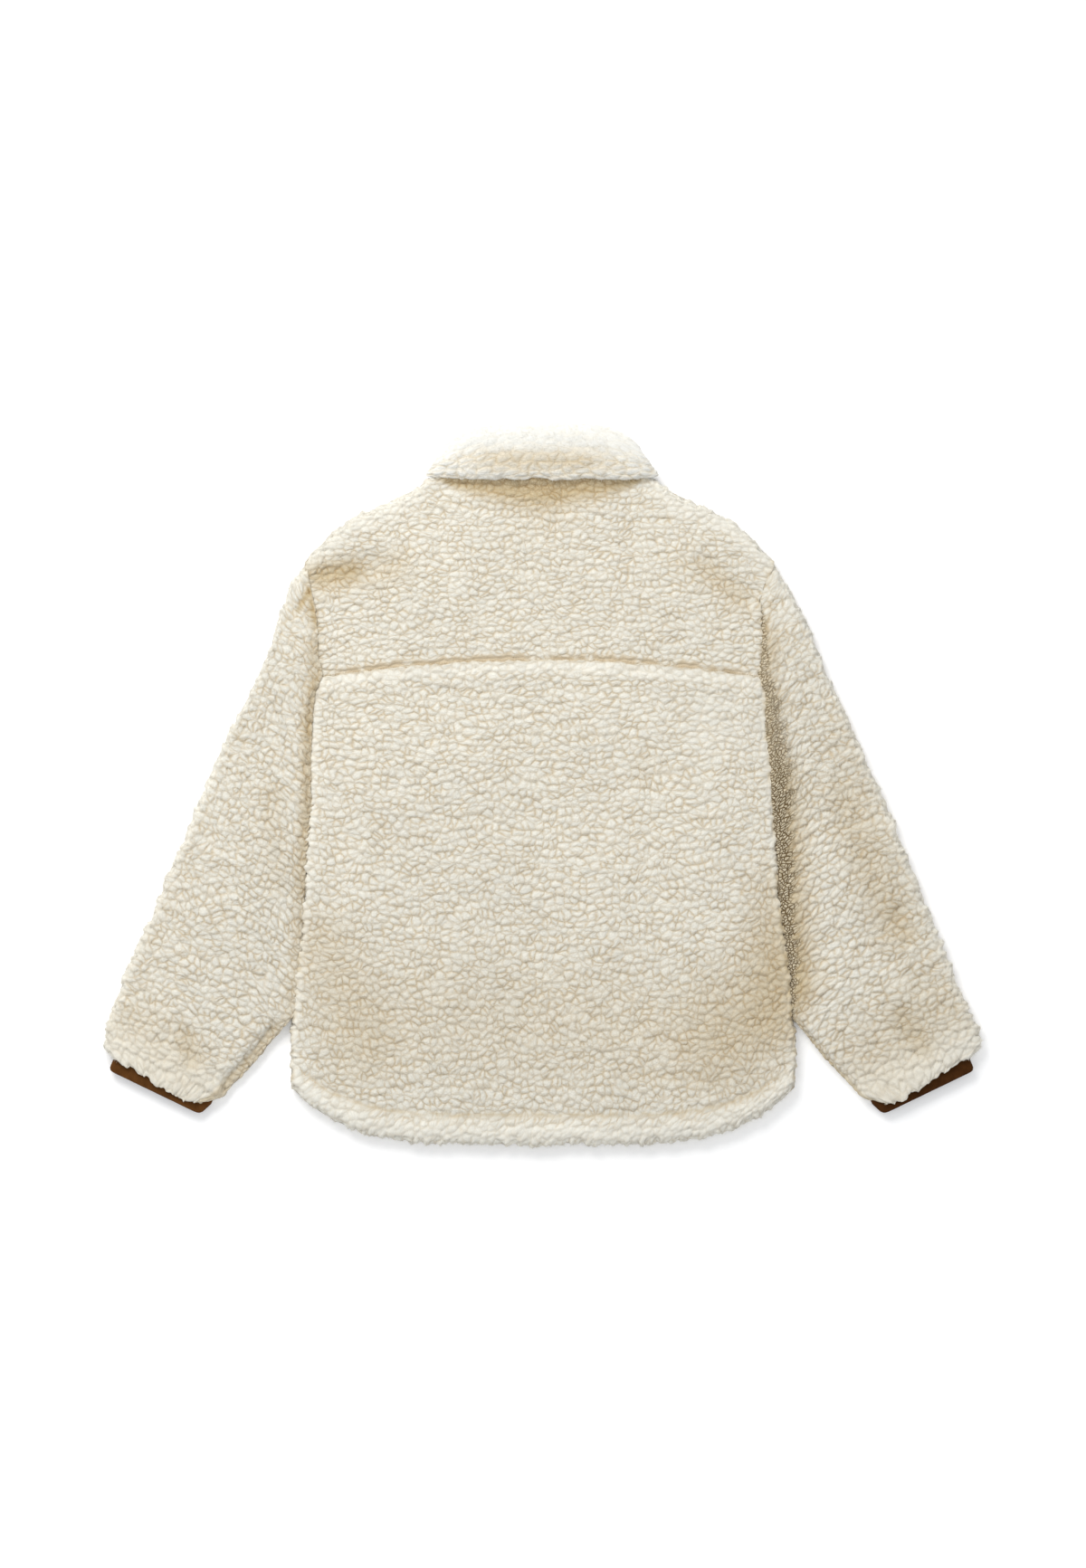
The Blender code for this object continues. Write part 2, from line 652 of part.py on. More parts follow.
def main():
    for old in list(bpy.data.objects):
        bpy.data.objects.remove(old, do_unlink=True)
    scene = bpy.context.scene
    jacket = bpy.data.collections.new("fleece_jacket")
    cutters = bpy.data.collections.new("cutters")
    scene.collection.children.link(jacket)
    scene.collection.children.link(cutters)

    fleece = make_material("sherpa_fleece", CREAM, 0.95)
    woven = make_material("brown_binding", BROWN, 0.8)
    metal = make_material("stud_metal", STUD_METAL, 0.4, 1.0)

    make_back_body(jacket, fleece)
    make_back_yoke(jacket, fleece)
    fronts = {side: make_front(side, jacket, fleece) for side in SIDES}
    for side in SIDES:
        make_sleeve(side, jacket, fleece)
        make_cuff_binding(side, jacket, woven)
    make_collar(jacket, fleece)
    make_underlap(jacket, woven)
    make_studs(fronts["right"], jacket, cutters, metal)


main()
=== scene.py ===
# %% [markdown]
# # A sherpa fleece jacket, laid flat with its back up
#
# The real jacket is cut from sherpa: a thin knitted backing whose pile curls into thousands of
# small clumps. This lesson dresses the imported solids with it. Each cut piece becomes a fine shell
# on its solid's form, the clumps are pushed into that shell by a rule, and the very same rule
# colours the gaps between them.

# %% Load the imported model
import math
from collections import namedtuple

import bmesh
import bpy
import numpy as np
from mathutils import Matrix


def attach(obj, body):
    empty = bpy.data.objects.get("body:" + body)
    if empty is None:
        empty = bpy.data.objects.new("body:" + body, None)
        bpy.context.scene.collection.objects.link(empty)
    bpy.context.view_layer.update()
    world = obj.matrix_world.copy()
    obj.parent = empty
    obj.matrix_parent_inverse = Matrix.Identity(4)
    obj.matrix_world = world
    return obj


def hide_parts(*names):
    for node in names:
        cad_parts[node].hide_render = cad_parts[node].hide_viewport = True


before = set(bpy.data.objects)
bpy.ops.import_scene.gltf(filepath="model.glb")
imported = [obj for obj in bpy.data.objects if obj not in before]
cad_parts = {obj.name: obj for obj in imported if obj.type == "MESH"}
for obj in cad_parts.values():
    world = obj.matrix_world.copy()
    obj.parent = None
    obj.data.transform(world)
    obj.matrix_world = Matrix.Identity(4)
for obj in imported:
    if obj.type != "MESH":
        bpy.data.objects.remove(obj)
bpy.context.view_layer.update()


# %% A helper for objects
def add_object(name, data):
    """A new object in the scene, made from a mesh, a lamp or a camera."""
    piece = bpy.data.objects.new(name, data)
    bpy.context.scene.collection.objects.link(piece)
    return piece


# %% [markdown]
# ## Camera, floor and light
#
# The jacket is photographed from straight above on white. A long lens far away keeps the edges
# of the cloth upright. One millimetre of cloth fills one pixel of the picture, so the frame is
# as many millimetres tall as the picture has pixels. A large soft lamp stands at the upper left,
# and a pale sky fills the shadows, as white studio walls do.

# %% Camera
MM = 0.001
PICTURE_WIDTH = 1200
PICTURE_HEIGHT = 1733
ORIGIN_PIXEL = (598.5, 867.0)        # where the origin lies in the picture
LENS = 100.0
SENSOR = 36.0

camera_data = bpy.data.cameras.new("studio_camera")
camera = add_object("studio_camera", camera_data)
bpy.context.scene.camera = camera
camera_data.lens = LENS
camera_data.sensor_width = SENSOR
camera_height = PICTURE_HEIGHT * MM * LENS / SENSOR
camera.location = ((PICTURE_WIDTH / 2 - ORIGIN_PIXEL[0]) * MM,
                   (ORIGIN_PIXEL[1] - PICTURE_HEIGHT / 2) * MM, camera_height)
print("camera height:", round(camera_height, 3), "m")


# %% Helpers for nodes
def add_node(tree, kind, values=(), **settings):
    """A new node. values holds numbers, colours or other nodes' sockets for its inputs."""
    node = tree.nodes.new(kind)
    for name, value in settings.items():
        setattr(node, name, value)
    for name, value in dict(values).items():
        if isinstance(value, bpy.types.NodeSocket):
            tree.links.new(value, node.inputs[name])
        else:
            node.inputs[name].default_value = value
    return node


def calculate(tree, operation, a, b=0.0, c=0.0):
    """The result of one sum on sockets or numbers."""
    node = add_node(tree, "ShaderNodeMath", {0: a, 1: b, 2: c}, operation=operation)
    return node.outputs[0]


def times(tree, a, b):
    return calculate(tree, "MULTIPLY", a, b)


def times_plus(tree, a, b, c):
    return calculate(tree, "MULTIPLY_ADD", a, b, c)


def vector_sum(tree, operation, *vectors):
    """The result of one sum on vectors."""
    node = add_node(tree, "ShaderNodeVectorMath", dict(enumerate(vectors)), operation=operation)
    return node.outputs[0]


def noise(tree, place, scale, detail, output=0):
    """A soft noise. More detail adds finer noise to it."""
    node = add_node(tree, "ShaderNodeTexNoise", {"Vector": place, "Scale": scale, "Detail": detail})
    return node.outputs[output]


def ramp(tree, value, low, high, start=0.0, end=1.0):
    """Goes smoothly from start to end while value goes from low to high."""
    node = add_node(tree, "ShaderNodeMapRange", {
        "Value": value, "From Min": low, "From Max": high, "To Min": start, "To Max": end,
    }, interpolation_type="SMOOTHSTEP")
    return node.outputs["Result"]


def new_material(name):
    material = bpy.data.materials.new(name)
    material.use_nodes = True
    return material, material.node_tree, material.node_tree.nodes["Principled BSDF"]


# %% Floor
floor_material, tree, shader = new_material("pale_floor")
for label, value in (("Base Color", (0.93, 0.93, 0.93, 1.0)), ("Roughness", 0.9),
                     ("Specular IOR Level", 0.0), ("Emission Color", (0.97, 0.985, 1.0, 1.0)),
                     ("Emission Strength", 0.14)):
    shader.inputs[label].default_value = value

FLOOR_HALF = 6.0
FLOOR_LEVEL = -0.0004                # a hair below the cloth that rests on it
floor_mesh = bpy.data.meshes.new("studio_floor")
floor_mesh.from_pydata([(x * FLOOR_HALF, y * FLOOR_HALF, FLOOR_LEVEL)
                        for x, y in ((-1, -1), (1, -1), (1, 1), (-1, 1))], [], [(0, 1, 2, 3)])
floor_mesh.materials.append(floor_material)
studio_floor = add_object("studio_floor", floor_mesh)


# %% Lamps and sky
def add_lamp(name, place, size, power, colour):
    """A square soft lamp that faces the middle of the jacket."""
    data = bpy.data.lights.new(name, "AREA")
    data.size = size
    data.energy = power
    data.color = colour
    lamp = add_object(name, data)
    lamp.location = place
    lamp.rotation_euler = (-lamp.location).to_track_quat("-Z", "Y").to_euler()


add_lamp("key_light", place=(-0.95, 1.8, 1.9), size=1.5, power=53.0, colour=(1.0, 0.985, 0.96))

SKY_LEVEL = 0.80
SKY_COLOUR = (0.975, 0.985, 1.0, 1.0)
world = bpy.data.worlds.new("studio_sky")
bpy.context.scene.world = world
world.use_nodes = True
sky = world.node_tree.nodes["Background"].inputs
sky["Color"].default_value = SKY_COLOUR
sky["Strength"].default_value = SKY_LEVEL
bpy.context.scene.view_settings.view_transform = "Standard"

# %% [markdown]
# ## The cut
#
# The solids were drawn from a few sizes and two tables, and the shells have to lie on the same
# outlines, so those sizes are given again here, in millimetres. Only the yoke's seam hangs a
# little lower in the soft cloth. A curve instead of straight stretches runs through each table's
# rows, which makes the shells' outlines softer.

# %% Sizes of the cut, mm
SEAM_GAP = 0.3
FRONT_WALL = 9.0
BACK_WALL = 10.0
SLEEVE_WALL = 8.7
BACK_FLOOR = FRONT_WALL + SEAM_GAP
HEM_SIDE = -334.0
HEM_DROP = 64.0
HEM_POWER = 4.6
FRONT_HEM_RISE = 5.0
YOKE_SIDE = 115.5                    # 4.5 mm below the solids' seam
YOKE_RISE = 19.0
SHOULDER_END = 237.0
SHOULDER_RISE = 92.5
SHOULDER_POWER = 1.5
UNDERARM = -26.0
NECK_SHARE = 0.46
BACK_NECK_RISE = 14.0
FRONT_NECK_DROP = 64.0
RIM = 9.0                            # how far in from an edge a wall reaches its full height
SIDES = {"left": -1, "right": 1}

Edge = namedtuple("Edge", "height left right")
BODY_EDGE = (
    Edge(-334, 276, 279),
    Edge(-295, 276, 280),
    Edge(-255, 276, 278),
    Edge(-213, 271, 274),
    Edge(-165, 266.5, 267.5),
    Edge(-127, 264, 263),
    Edge(-81, 262, 260.5),
    Edge(-26, 257, 256),
    Edge(33, 255.5, 251),
    Edge(68, 254, 247),
    Edge(104, 250, 246),
    Edge(120, 243.5, 240),
    Edge(139, 247.5, 243),
    Edge(163, 248.5, 243.5),
    Edge(184, 250, 243),
    Edge(213, 255.5, 242.5),
    Edge(237, 261, 256),
)


# %% Outline
def mix(a, b, share):
    return a + (b - a) * share


def quarter_round(distance, reach):
    """Rises as a quarter circle from 0 at the edge to 1 at reach."""
    share = np.clip(distance / reach, 0.0, 1.0)
    return np.sqrt(1.0 - (1.0 - share) ** 2)


def valley(distance, reach):
    """Rises to 1 as quarter_round does, but starts on a slope instead of upright."""
    start = quarter_round(0.2, 1.0)
    return (quarter_round(distance + 0.2 * reach, reach) - start) / (1.0 - start)


def bump(distance, width):
    """A soft bump: 1 at no distance, 0 from width on."""
    share = np.clip(np.abs(distance) / width, 0.0, 1.0)
    return 0.5 + 0.5 * np.cos(np.pi * share)


def smooth_step(value, low, high):
    """Goes smoothly from 0 to 1 while value goes from low to high."""
    share = np.clip((value - low) / (high - low), 0.0, 1.0)
    return share * share * (3.0 - 2.0 * share)


def fade(value, low, high):
    """Goes smoothly from 1 to 0 while value goes from low to high."""
    return 1.0 - smooth_step(value, low, high)


def smooth_curve(place, knots, values):
    """Values at places on a soft curve through a table's rows."""
    knots = np.asarray(knots, float)
    values = np.asarray(values, float)
    slopes = np.gradient(values, knots, axis=0)
    row = np.clip(np.searchsorted(knots, place, side="right") - 1, 0, len(knots) - 2)
    gap = knots[row + 1] - knots[row]
    t = np.clip((place - knots[row]) / gap, 0.0, 1.0)
    more = np.shape(t) + (1,) * (values.ndim - 1)
    gap = np.reshape(gap, more)
    t = np.reshape(t, more)
    ease = t * t * (3.0 - 2.0 * t)
    bend = t * (1.0 - t) * gap * ((1.0 - t) * slopes[row] - t * slopes[row + 1])
    return mix(values[row], values[row + 1], ease) + bend


def from_table(table, side, height):
    """One side's value at a height, on the curve through a table's rows."""
    return smooth_curve(height, [row.height for row in table], [getattr(row, side) for row in table])


def edge_x(side, height):
    """Distance of the body's edge from the centre."""
    return from_table(BODY_EDGE, side, height)


def hem_y(share):
    return HEM_SIDE - HEM_DROP * (1.0 - share ** HEM_POWER)


def yoke_y(share):
    return YOKE_SIDE + YOKE_RISE * (1.0 - share ** 2)


def top_y(share, neck_offset, neck_power):
    """Neck seam in the middle, shoulder beyond the neck point."""
    out = np.clip((share - NECK_SHARE) / (1.0 - NECK_SHARE), 0.0, 1.0)
    shoulder = SHOULDER_END + SHOULDER_RISE * (1.0 - out ** SHOULDER_POWER)
    inside = np.clip(share / NECK_SHARE, 0.0, 1.0)
    return shoulder + neck_offset * (1.0 - inside ** neck_power)


def back_top_y(share):
    return top_y(share, BACK_NECK_RISE, 2.5)


def front_top_y(share):
    return top_y(share, -FRONT_NECK_DROP, 3.0)


print("chest:", edge_x("left", UNDERARM) + edge_x("right", UNDERARM), "mm")

# %% [markdown]
# ## Clumps of pile
#
# Sherpa's pile is brushed and tumbled until it curls into clumps with narrow gaps between them.
# A Voronoi pattern has just this layout: every cell is a clump, and its distance to the nearest
# edge says where the gaps run. Blender has the same Voronoi node for Geometry Nodes and for
# materials, so one function builds the pattern in either tree: the gaps that the geometry sinks
# are the gaps that the material darkens. Both read the shell's own "cloth" attribute, which
# counts clumps along and across the cloth, so each piece has its own grain and clump size.


# %% The clump pattern
DRIFT = (0.16, 1.0, 2.2)             # a slow noise's scale and detail, and how far it moves clumps
WRIGGLE = (0.9, 1.0, 0.75)           # the same for a quicker one, which curls their outlines
LOCK_SCALE = 2.3                     # how many small locks there are across a clump
Pattern = namedtuple("Pattern", "cloth local crack line fine dome tilt chance")


def read_field(tree, name, data_type="FLOAT"):
    """A number or a vector that every point of a shell carries, in a Geometry Nodes tree."""
    return add_node(tree, "GeometryNodeInputNamedAttribute", {"Name": name},
                    data_type=data_type).outputs["Attribute"]


def point_place(group):
    """The X, Y and Z sockets of each point's place."""
    place = group.nodes.new("GeometryNodeInputPosition").outputs[0]
    return add_node(group, "ShaderNodeSeparateXYZ", {"Vector": place}).outputs


def clump_edge(tree, cell):
    """The distance to the nearest edge between two cells of a Voronoi pattern."""
    return add_node(tree, "ShaderNodeTexVoronoi", cell, feature="DISTANCE_TO_EDGE",
                    voronoi_dimensions="2D").outputs["Distance"]


def stir(tree, vector, scale, detail, reach):
    """Moves a vector about by a noise, up to about half of reach each way."""
    colours = noise(tree, vector, scale, detail, "Color")
    centred = vector_sum(tree, "SUBTRACT", colours, (0.5, 0.5, 0.5))
    return vector_sum(tree, "MULTIPLY_ADD", centred, (reach, reach, 0.0), vector)


def clump_pattern(tree, kind):
    """The pattern's sockets in a tree. crack and line are 1 in the gaps between clumps, and fine
    in those between small locks. dome grows from a clump's middle outwards, tilt and local say
    where a place lies in its clump, and chance differs from clump to clump."""
    if kind == "geometry":
        cloth = read_field(tree, "cloth", "FLOAT_VECTOR")
    else:
        cloth = add_node(tree, "ShaderNodeAttribute", attribute_name="cloth").outputs["Vector"]
    curled = stir(tree, stir(tree, cloth, *DRIFT), *WRIGGLE)
    cell = {"Vector": curled, "Scale": 1.0, "Randomness": 0.95}
    edge = clump_edge(tree, cell)
    middle = add_node(tree, "ShaderNodeTexVoronoi", cell, feature="F1", voronoi_dimensions="2D")
    chance = add_node(tree, "ShaderNodeSeparateXYZ", {"Vector": middle.outputs["Color"]}).outputs
    small = clump_edge(tree, {"Vector": curled, "Scale": LOCK_SCALE, "Randomness": 1.0})
    # neighbours part fully in some places and hardly in others
    courses = vector_sum(tree, "MULTIPLY", cloth, (0.4, 1.0, 1.0))
    parted = ramp(tree, noise(tree, courses, 0.8, 2.0), 0.36, 0.62, 0.35, 1.0)
    crack = times(tree, ramp(tree, edge, 0.0, 0.34, 1.0, 0.0), parted)
    line = times(tree, ramp(tree, edge, 0.0, 0.12, 1.0, 0.0), parted)
    fine = ramp(tree, small, 0.0, 0.30, 1.0, 0.0)
    dome = times(tree, middle.outputs["Distance"], middle.outputs["Distance"])
    local = vector_sum(tree, "SUBTRACT", curled, middle.outputs["Position"])
    tilt = add_node(tree, "ShaderNodeSeparateXYZ", {"Vector": local}).outputs["Y"]
    return Pattern(cloth, local, crack, line, fine, dome, tilt, chance)


# %% Growing clumps on a shell
def new_group(name, **inputs):
    """A Geometry Nodes tree with named inputs. Each input is given as (kind, value)."""
    group = bpy.data.node_groups.new(name, "GeometryNodeTree")
    group.interface.new_socket("Geometry", in_out="OUTPUT", socket_type="NodeSocketGeometry")
    group.interface.new_socket("Geometry", in_out="INPUT", socket_type="NodeSocketGeometry")
    for label, (kind, value) in inputs.items():
        socket = group.interface.new_socket(label, in_out="INPUT", socket_type="NodeSocket" + kind)
        if value is not None:
            socket.default_value = value
    return group, group.nodes.new("NodeGroupInput").outputs


def close_group(group, geometry, material):
    """Ends a tree: instances are made real, and the material is set."""
    real = add_node(group, "GeometryNodeRealizeInstances", {"Geometry": geometry})
    painted = add_node(group, "GeometryNodeSetMaterial",
                       {"Geometry": real.outputs[0], "Material": material})
    output = group.nodes.new("NodeGroupOutput")
    group.links.new(painted.outputs[0], output.inputs[0])


def make_pile_group():
    group, given = new_group("grow_pile", Depth=("Float", 0.002), Uneven=("Float", 0.001),
                             Curl=("Float", 0.0006), Swell=("Float", 0.001),
                             Material=("Material", None))
    pattern = clump_pattern(group, "geometry")
    # a clump is a dome whose lower side overhangs the next one, as shingles do
    domed = times_plus(group, pattern.dome, -0.55, times(group, pattern.crack, -0.85))
    shingled = times_plus(group, pattern.tilt, -SHINGLE, domed)
    sunk = times(group, shingled, given["Depth"])
    luck = calculate(group, "SUBTRACT", pattern.chance["X"], 0.5)
    uneven = times_plus(group, luck, given["Uneven"], sunk)
    curl = calculate(group, "SUBTRACT", noise(group, pattern.cloth, 1.9, 2.0), 0.5)
    curled = times_plus(group, curl, given["Curl"], uneven)
    swell = calculate(group, "SUBTRACT", noise(group, pattern.cloth, 0.13, 1.0), 0.5)
    swollen = times_plus(group, swell, given["Swell"], curled)
    height = times(group, swollen, read_field(group, "loft"))
    normal = add_node(group, "GeometryNodeInputNormal")
    offset = add_node(group, "ShaderNodeVectorMath", {0: normal.outputs[0], "Scale": height},
                      operation="SCALE")
    grown = add_node(group, "GeometryNodeSetPosition",
                     {"Geometry": given["Geometry"], "Offset": offset.outputs[0]})
    # the floor presses the underside flat
    place = point_place(group)
    lowest = calculate(group, "MAXIMUM", place["Z"], 0.0)
    pressed = add_node(group, "ShaderNodeCombineXYZ", {"X": place["X"], "Y": place["Y"], "Z": lowest})
    flat = add_node(group, "GeometryNodeSetPosition",
                    {"Geometry": grown.outputs[0], "Position": pressed.outputs[0]})
    close_group(group, flat.outputs[0], given["Material"])
    return group


def grow(piece, group, **values):
    """Runs a Geometry Nodes tree on a piece and keeps the result as its plain mesh."""
    modifier = piece.modifiers.new(group.name, "NODES")
    modifier.node_group = group
    for item in group.interface.items_tree:
        if item.in_out == "INPUT" and item.name in values:
            modifier[item.identifier] = values[item.name]
    depsgraph = bpy.context.evaluated_depsgraph_get()
    depsgraph.update()
    grown = bpy.data.meshes.new_from_object(piece.evaluated_get(depsgraph),
                                            preserve_all_data_layers=True, depsgraph=depsgraph)
    piece.modifiers.remove(modifier)
    plain = piece.data
    piece.data = grown
    bpy.data.meshes.remove(plain)
    grown.name = piece.name
    grown.shade_smooth()
    return piece


SHINGLE = 0.6                        # how much a clump tips, as a share of its depth
pile_group = make_pile_group()

# %% [markdown]
# ## The fleece's finish
#
# The tops of the clumps are a cool cream and the gaps show the warm tan of the shaded pile and
# the knit below it. Inside a clump the fibres are combed one way, another way in each clump, so
# a streaky noise is turned by a chance angle per cell. Sheen gives the soft rim that short
# fibres catch from the side.


# %% Fleece material
def set_shader(shader, roughness, sheen=0.0, specular=0.2):
    shader.inputs["Roughness"].default_value = roughness
    shader.inputs["Sheen Weight"].default_value = sheen
    shader.inputs["Specular IOR Level"].default_value = specular


def blend_colour(tree, share, a, b, blend_type="MIX"):
    node = add_node(tree, "ShaderNodeMix", data_type="RGBA", blend_type=blend_type)
    for socket, value in ((node.inputs[0], share), (node.inputs[6], a), (node.inputs[7], b)):
        if isinstance(value, bpy.types.NodeSocket):
            tree.links.new(value, socket)
        else:
            socket.default_value = value
    return node.outputs[2]


def object_place(tree):
    """A surface point's place on its object, in metres."""
    return add_node(tree, "ShaderNodeTexCoord").outputs["Object"]


def emboss(tree, shader, strength, distance, height):
    """Lets a height show as fine relief, distance deep at most."""
    relief = add_node(tree, "ShaderNodeBump",
                      {"Strength": strength, "Distance": distance, "Height": height})
    tree.links.new(relief.outputs[0], shader.inputs["Normal"])


def fleece_material(name, gap_colour, warm_colour, top_colour, brushed_lit_colour, line_share):
    material, tree, shader = new_material(name)
    pattern = clump_pattern(tree, "shader")
    bare, shade, soft, shadowed_tangle = (
        add_node(tree, "ShaderNodeAttribute", attribute_name=label).outputs["Fac"]
        for label in ("bare", "shade", "soft", "shadowed_tangle"))
    # fibres, combed another way in each clump
    turn = times(tree, pattern.chance["Y"], math.tau)
    turned = add_node(tree, "ShaderNodeVectorRotate", {"Vector": pattern.local, "Angle": turn},
                      rotation_type="Z_AXIS")
    combed = vector_sum(tree, "MULTIPLY", turned.outputs[0], FIBRE_SPREAD)
    fibre = add_node(tree, "ShaderNodeTexNoise", {
        "Vector": vector_sum(tree, "ADD", pattern.cloth, combed), "Scale": 1.0, "Detail": 4.0,
        "Roughness": 0.65, "Distortion": 0.8}).outputs[0]
    broad = noise(tree, object_place(tree), 9.0, 2.0)
    # colour: cool top, warm flank, tan crack; the flank colour on each clump's lower side is painted
    # shade
    firm = calculate(tree, "SUBTRACT", 1.0, times(tree, soft, 0.65))
    crack = times(tree, pattern.crack, firm)
    line = times(tree, pattern.line, firm)
    fine = times(tree, pattern.fine, firm)
    under = ramp(tree, pattern.tilt, -0.05, -0.5)
    flank = calculate(tree, "MAXIMUM", crack, times(tree, under, 0.6))
    colour = blend_colour(tree, flank, top_colour, warm_colour)
    colour = blend_colour(tree, times(tree, line, line_share), colour, gap_colour)
    level = times(tree, ramp(tree, fibre, 0.25, 0.75, 0.93, 1.06),
                      ramp(tree, broad, 0.3, 0.7, 0.975, 1.02))
    level = times(tree, level, times_plus(tree, pattern.chance["Z"], 0.08, 0.96))
    level = times(tree, level, times_plus(tree, fine, -0.07, 1.02))
    # soft pile is painted paler; on rims and puffs this paler colour is painted light
    colour = blend_colour(tree, times(tree, soft, 0.55), colour, brushed_lit_colour)
    grey = add_node(tree, "ShaderNodeCombineColor", {"Red": level, "Green": level, "Blue": level})
    colour = blend_colour(tree, 1.0, colour, grey.outputs[0], "MULTIPLY")
    # painted shade: where the shade attribute says, the colour is darkened and warmed, and bare knit
    # backing shows where the pile parts
    colour = blend_colour(tree, shade, colour, SHADE_TAN, "MULTIPLY")
    deepest = times(tree, calculate(tree, "SUBTRACT", shade, 1.0),
                        times_plus(tree, pattern.fine, 0.75, 0.2))
    colour = blend_colour(tree, deepest, colour, SHADE_BROWN, "MULTIPLY")
    colour = blend_colour(tree, bare, colour, KNIT_TAN)
    # painted shadow: where the pile lies tangled in a valley, its small dark-edged locks take the dark
    # colours of shadow
    tufts = blend_colour(tree, ramp(tree, fibre, 0.35, 0.68), TANGLE_SHADE, SHADOWED_TUFT)
    locks = blend_colour(tree, ramp(tree, pattern.fine, 0.1, 0.85), tufts, SHADOWED_LOCK_GAP)
    colour = blend_colour(tree, shadowed_tangle, colour, locks)
    tree.links.new(colour, shader.inputs["Base Color"])
    # fine relief: cracks, the small locks inside a clump, fibres
    relief = times_plus(tree, line, -0.25, times(tree, crack, -0.6))
    relief = times_plus(tree, fine, -0.6, relief)
    relief = times_plus(tree, times(tree, pattern.fine, shadowed_tangle), -0.9, relief)
    relief = times_plus(tree, fibre, 0.75, relief)
    emboss(tree, shader, 0.7, 0.0005, relief)
    set_shader(shader, 0.95, sheen=0.25, specular=0.1)
    return material


FIBRE_SPREAD = (8.0, 2.4, 1.0)       # how finely a clump's fibres lie, across and along them
# the next two colours darken the pile as painted shade
SHADE_TAN = (0.74, 0.63, 0.455, 1.0)
SHADE_BROWN = (0.42, 0.30, 0.16, 1.0)
KNIT_TAN = (0.61, 0.515, 0.37, 1.0)
SHADOWED_TUFT = (0.72, 0.645, 0.50, 1.0)
TANGLE_SHADE = (0.35, 0.285, 0.175, 1.0)
SHADOWED_LOCK_GAP = (0.115, 0.075, 0.03, 1.0)
GAP_TAN = (0.49, 0.38, 0.23, 1.0)
WARM_CREAM = (0.585, 0.515, 0.395, 1.0)
COOL_CREAM = (0.70, 0.68, 0.605, 1.0)
# a paler cream for soft pile, partly painted light
BRUSHED_LIT_CREAM = (0.79, 0.77, 0.695, 1.0)
sherpa = fleece_material("sherpa_fleece", GAP_TAN, WARM_CREAM, COOL_CREAM, BRUSHED_LIT_CREAM, 0.35)
collar_sherpa = fleece_material("collar_fleece", (0.54, 0.45, 0.31, 1.0), (0.70, 0.645, 0.53, 1.0),
                                (0.74, 0.735, 0.69, 1.0), (0.745, 0.74, 0.70, 1.0), 0.35)

# %% [markdown]
# ## Shells
#
# A panel's shell is a fine grid of points over its outer face, a short upright edge and one flat
# inner face that rests on what lies below. The grid follows the cut: its rows run from seam to
# seam, and rows crowd together where the cloth turns down over a rim. Grids like this are quick
# to make with arrays, and their points keep their order, so every point can carry its place in
# the cloth.

# %% Grids of points
STEP = 1.85                          # between two points of a shell, mm
CLUMP_WIDTH = 9.3                     # a clump's usual size on the body, mm
CLUMP_HEIGHT = 6.9


def rim_steps(reach, step=STEP):
    """Distances from an edge, at even steps along a cloth that turns down over it."""
    count = max(3, round(reach * math.pi / 2 / step))
    return reach * (1.0 - np.cos(np.linspace(0.0, math.pi / 2, count + 1)))


def rim_extension(distance, reach):
    """How much further the cloth runs than its plan shows, where it turns down over a rim."""
    near = np.clip(distance / reach, 0.0, 1.0)
    return reach * (math.pi / 2 - 1.0 - np.arccos(1.0 - near) + near)


def even_shares(length, step=STEP):
    """Shares of a length at even steps, without its last one."""
    count = max(2, round(length / step))
    return np.linspace(0.0, 1.0, count + 1)[:-1]


def row_plan(length, low_steps, high_steps, step=STEP):
    """Each row's share of the way between the two rims, and how far it lies off that place."""
    inner = even_shares(length, step)
    shares = np.concatenate([0.0 * low_steps[:-1], inner, 1.0 + 0.0 * high_steps])
    offsets = np.concatenate([low_steps[:-1] - low_steps[-1], 0.0 * inner,
                              high_steps[-1] - high_steps[::-1]])
    return shares[:, None], offsets[:, None]


def panel_grid(sides, low, high, low_steps, high_steps, step=STEP):
    """A panel's plan between two curves: each point's x, y, share of the way from the centre to
    the edge, and the height at which its row meets the edge."""
    one = np.ones((1, 1))
    length = high(0.5 * one)[0, 0] - low(0.5 * one)[0, 0]
    row_shares, offsets = row_plan(length, low_steps, high_steps, step)

    def row_y(share):
        return mix(low(share) + low_steps[-1], high(share) - high_steps[-1], row_shares) + offsets

    heights = row_y(one)
    halves = []
    for side in sides:
        reach = edge_x(side, heights)
        inner = even_shares(edge_x(side, UNDERARM) - RIM, step)
        half = np.concatenate([(reach - RIM) * inner, reach - rim_steps(RIM)[::-1]], axis=1)
        halves.append((SIDES[side] * half, half / reach))
    across, shares = halves[-1]
    if len(sides) == 2:
        left_x, left_share = halves[0]
        across = np.concatenate([left_x[:, :0:-1], across], axis=1)
        shares = np.concatenate([left_share[:, :0:-1], shares], axis=1)
    return across, row_y(shares), shares, heights + 0.0 * across


# %% Turning a grid into a closed shell
def grid_faces(first, rows, columns):
    """Faces of a grid whose points are numbered row by row from first."""
    index = first + np.arange(rows * columns).reshape(rows, columns)
    corners = (index[:-1, :-1], index[:-1, 1:], index[1:, 1:], index[1:, :-1])
    return np.stack(corners, axis=-1).reshape(-1, 4).tolist()


def tube_faces(first, rows, count):
    """Faces of rings whose points are numbered ring by ring from first."""
    index = first + np.arange(rows * count).reshape(rows, count)
    corners = (index[:-1], np.roll(index[:-1], -1, 1), np.roll(index[1:], -1, 1), index[1:])
    return np.stack(corners, axis=-1).reshape(-1, 4).tolist()


def bridge_faces(first, second, count):
    """Faces between two rings, whose points are numbered from first and from second."""
    ring = np.arange(count)
    after = np.roll(ring, -1)
    return np.stack([first + ring, first + after, second + after, second + ring], -1).tolist()


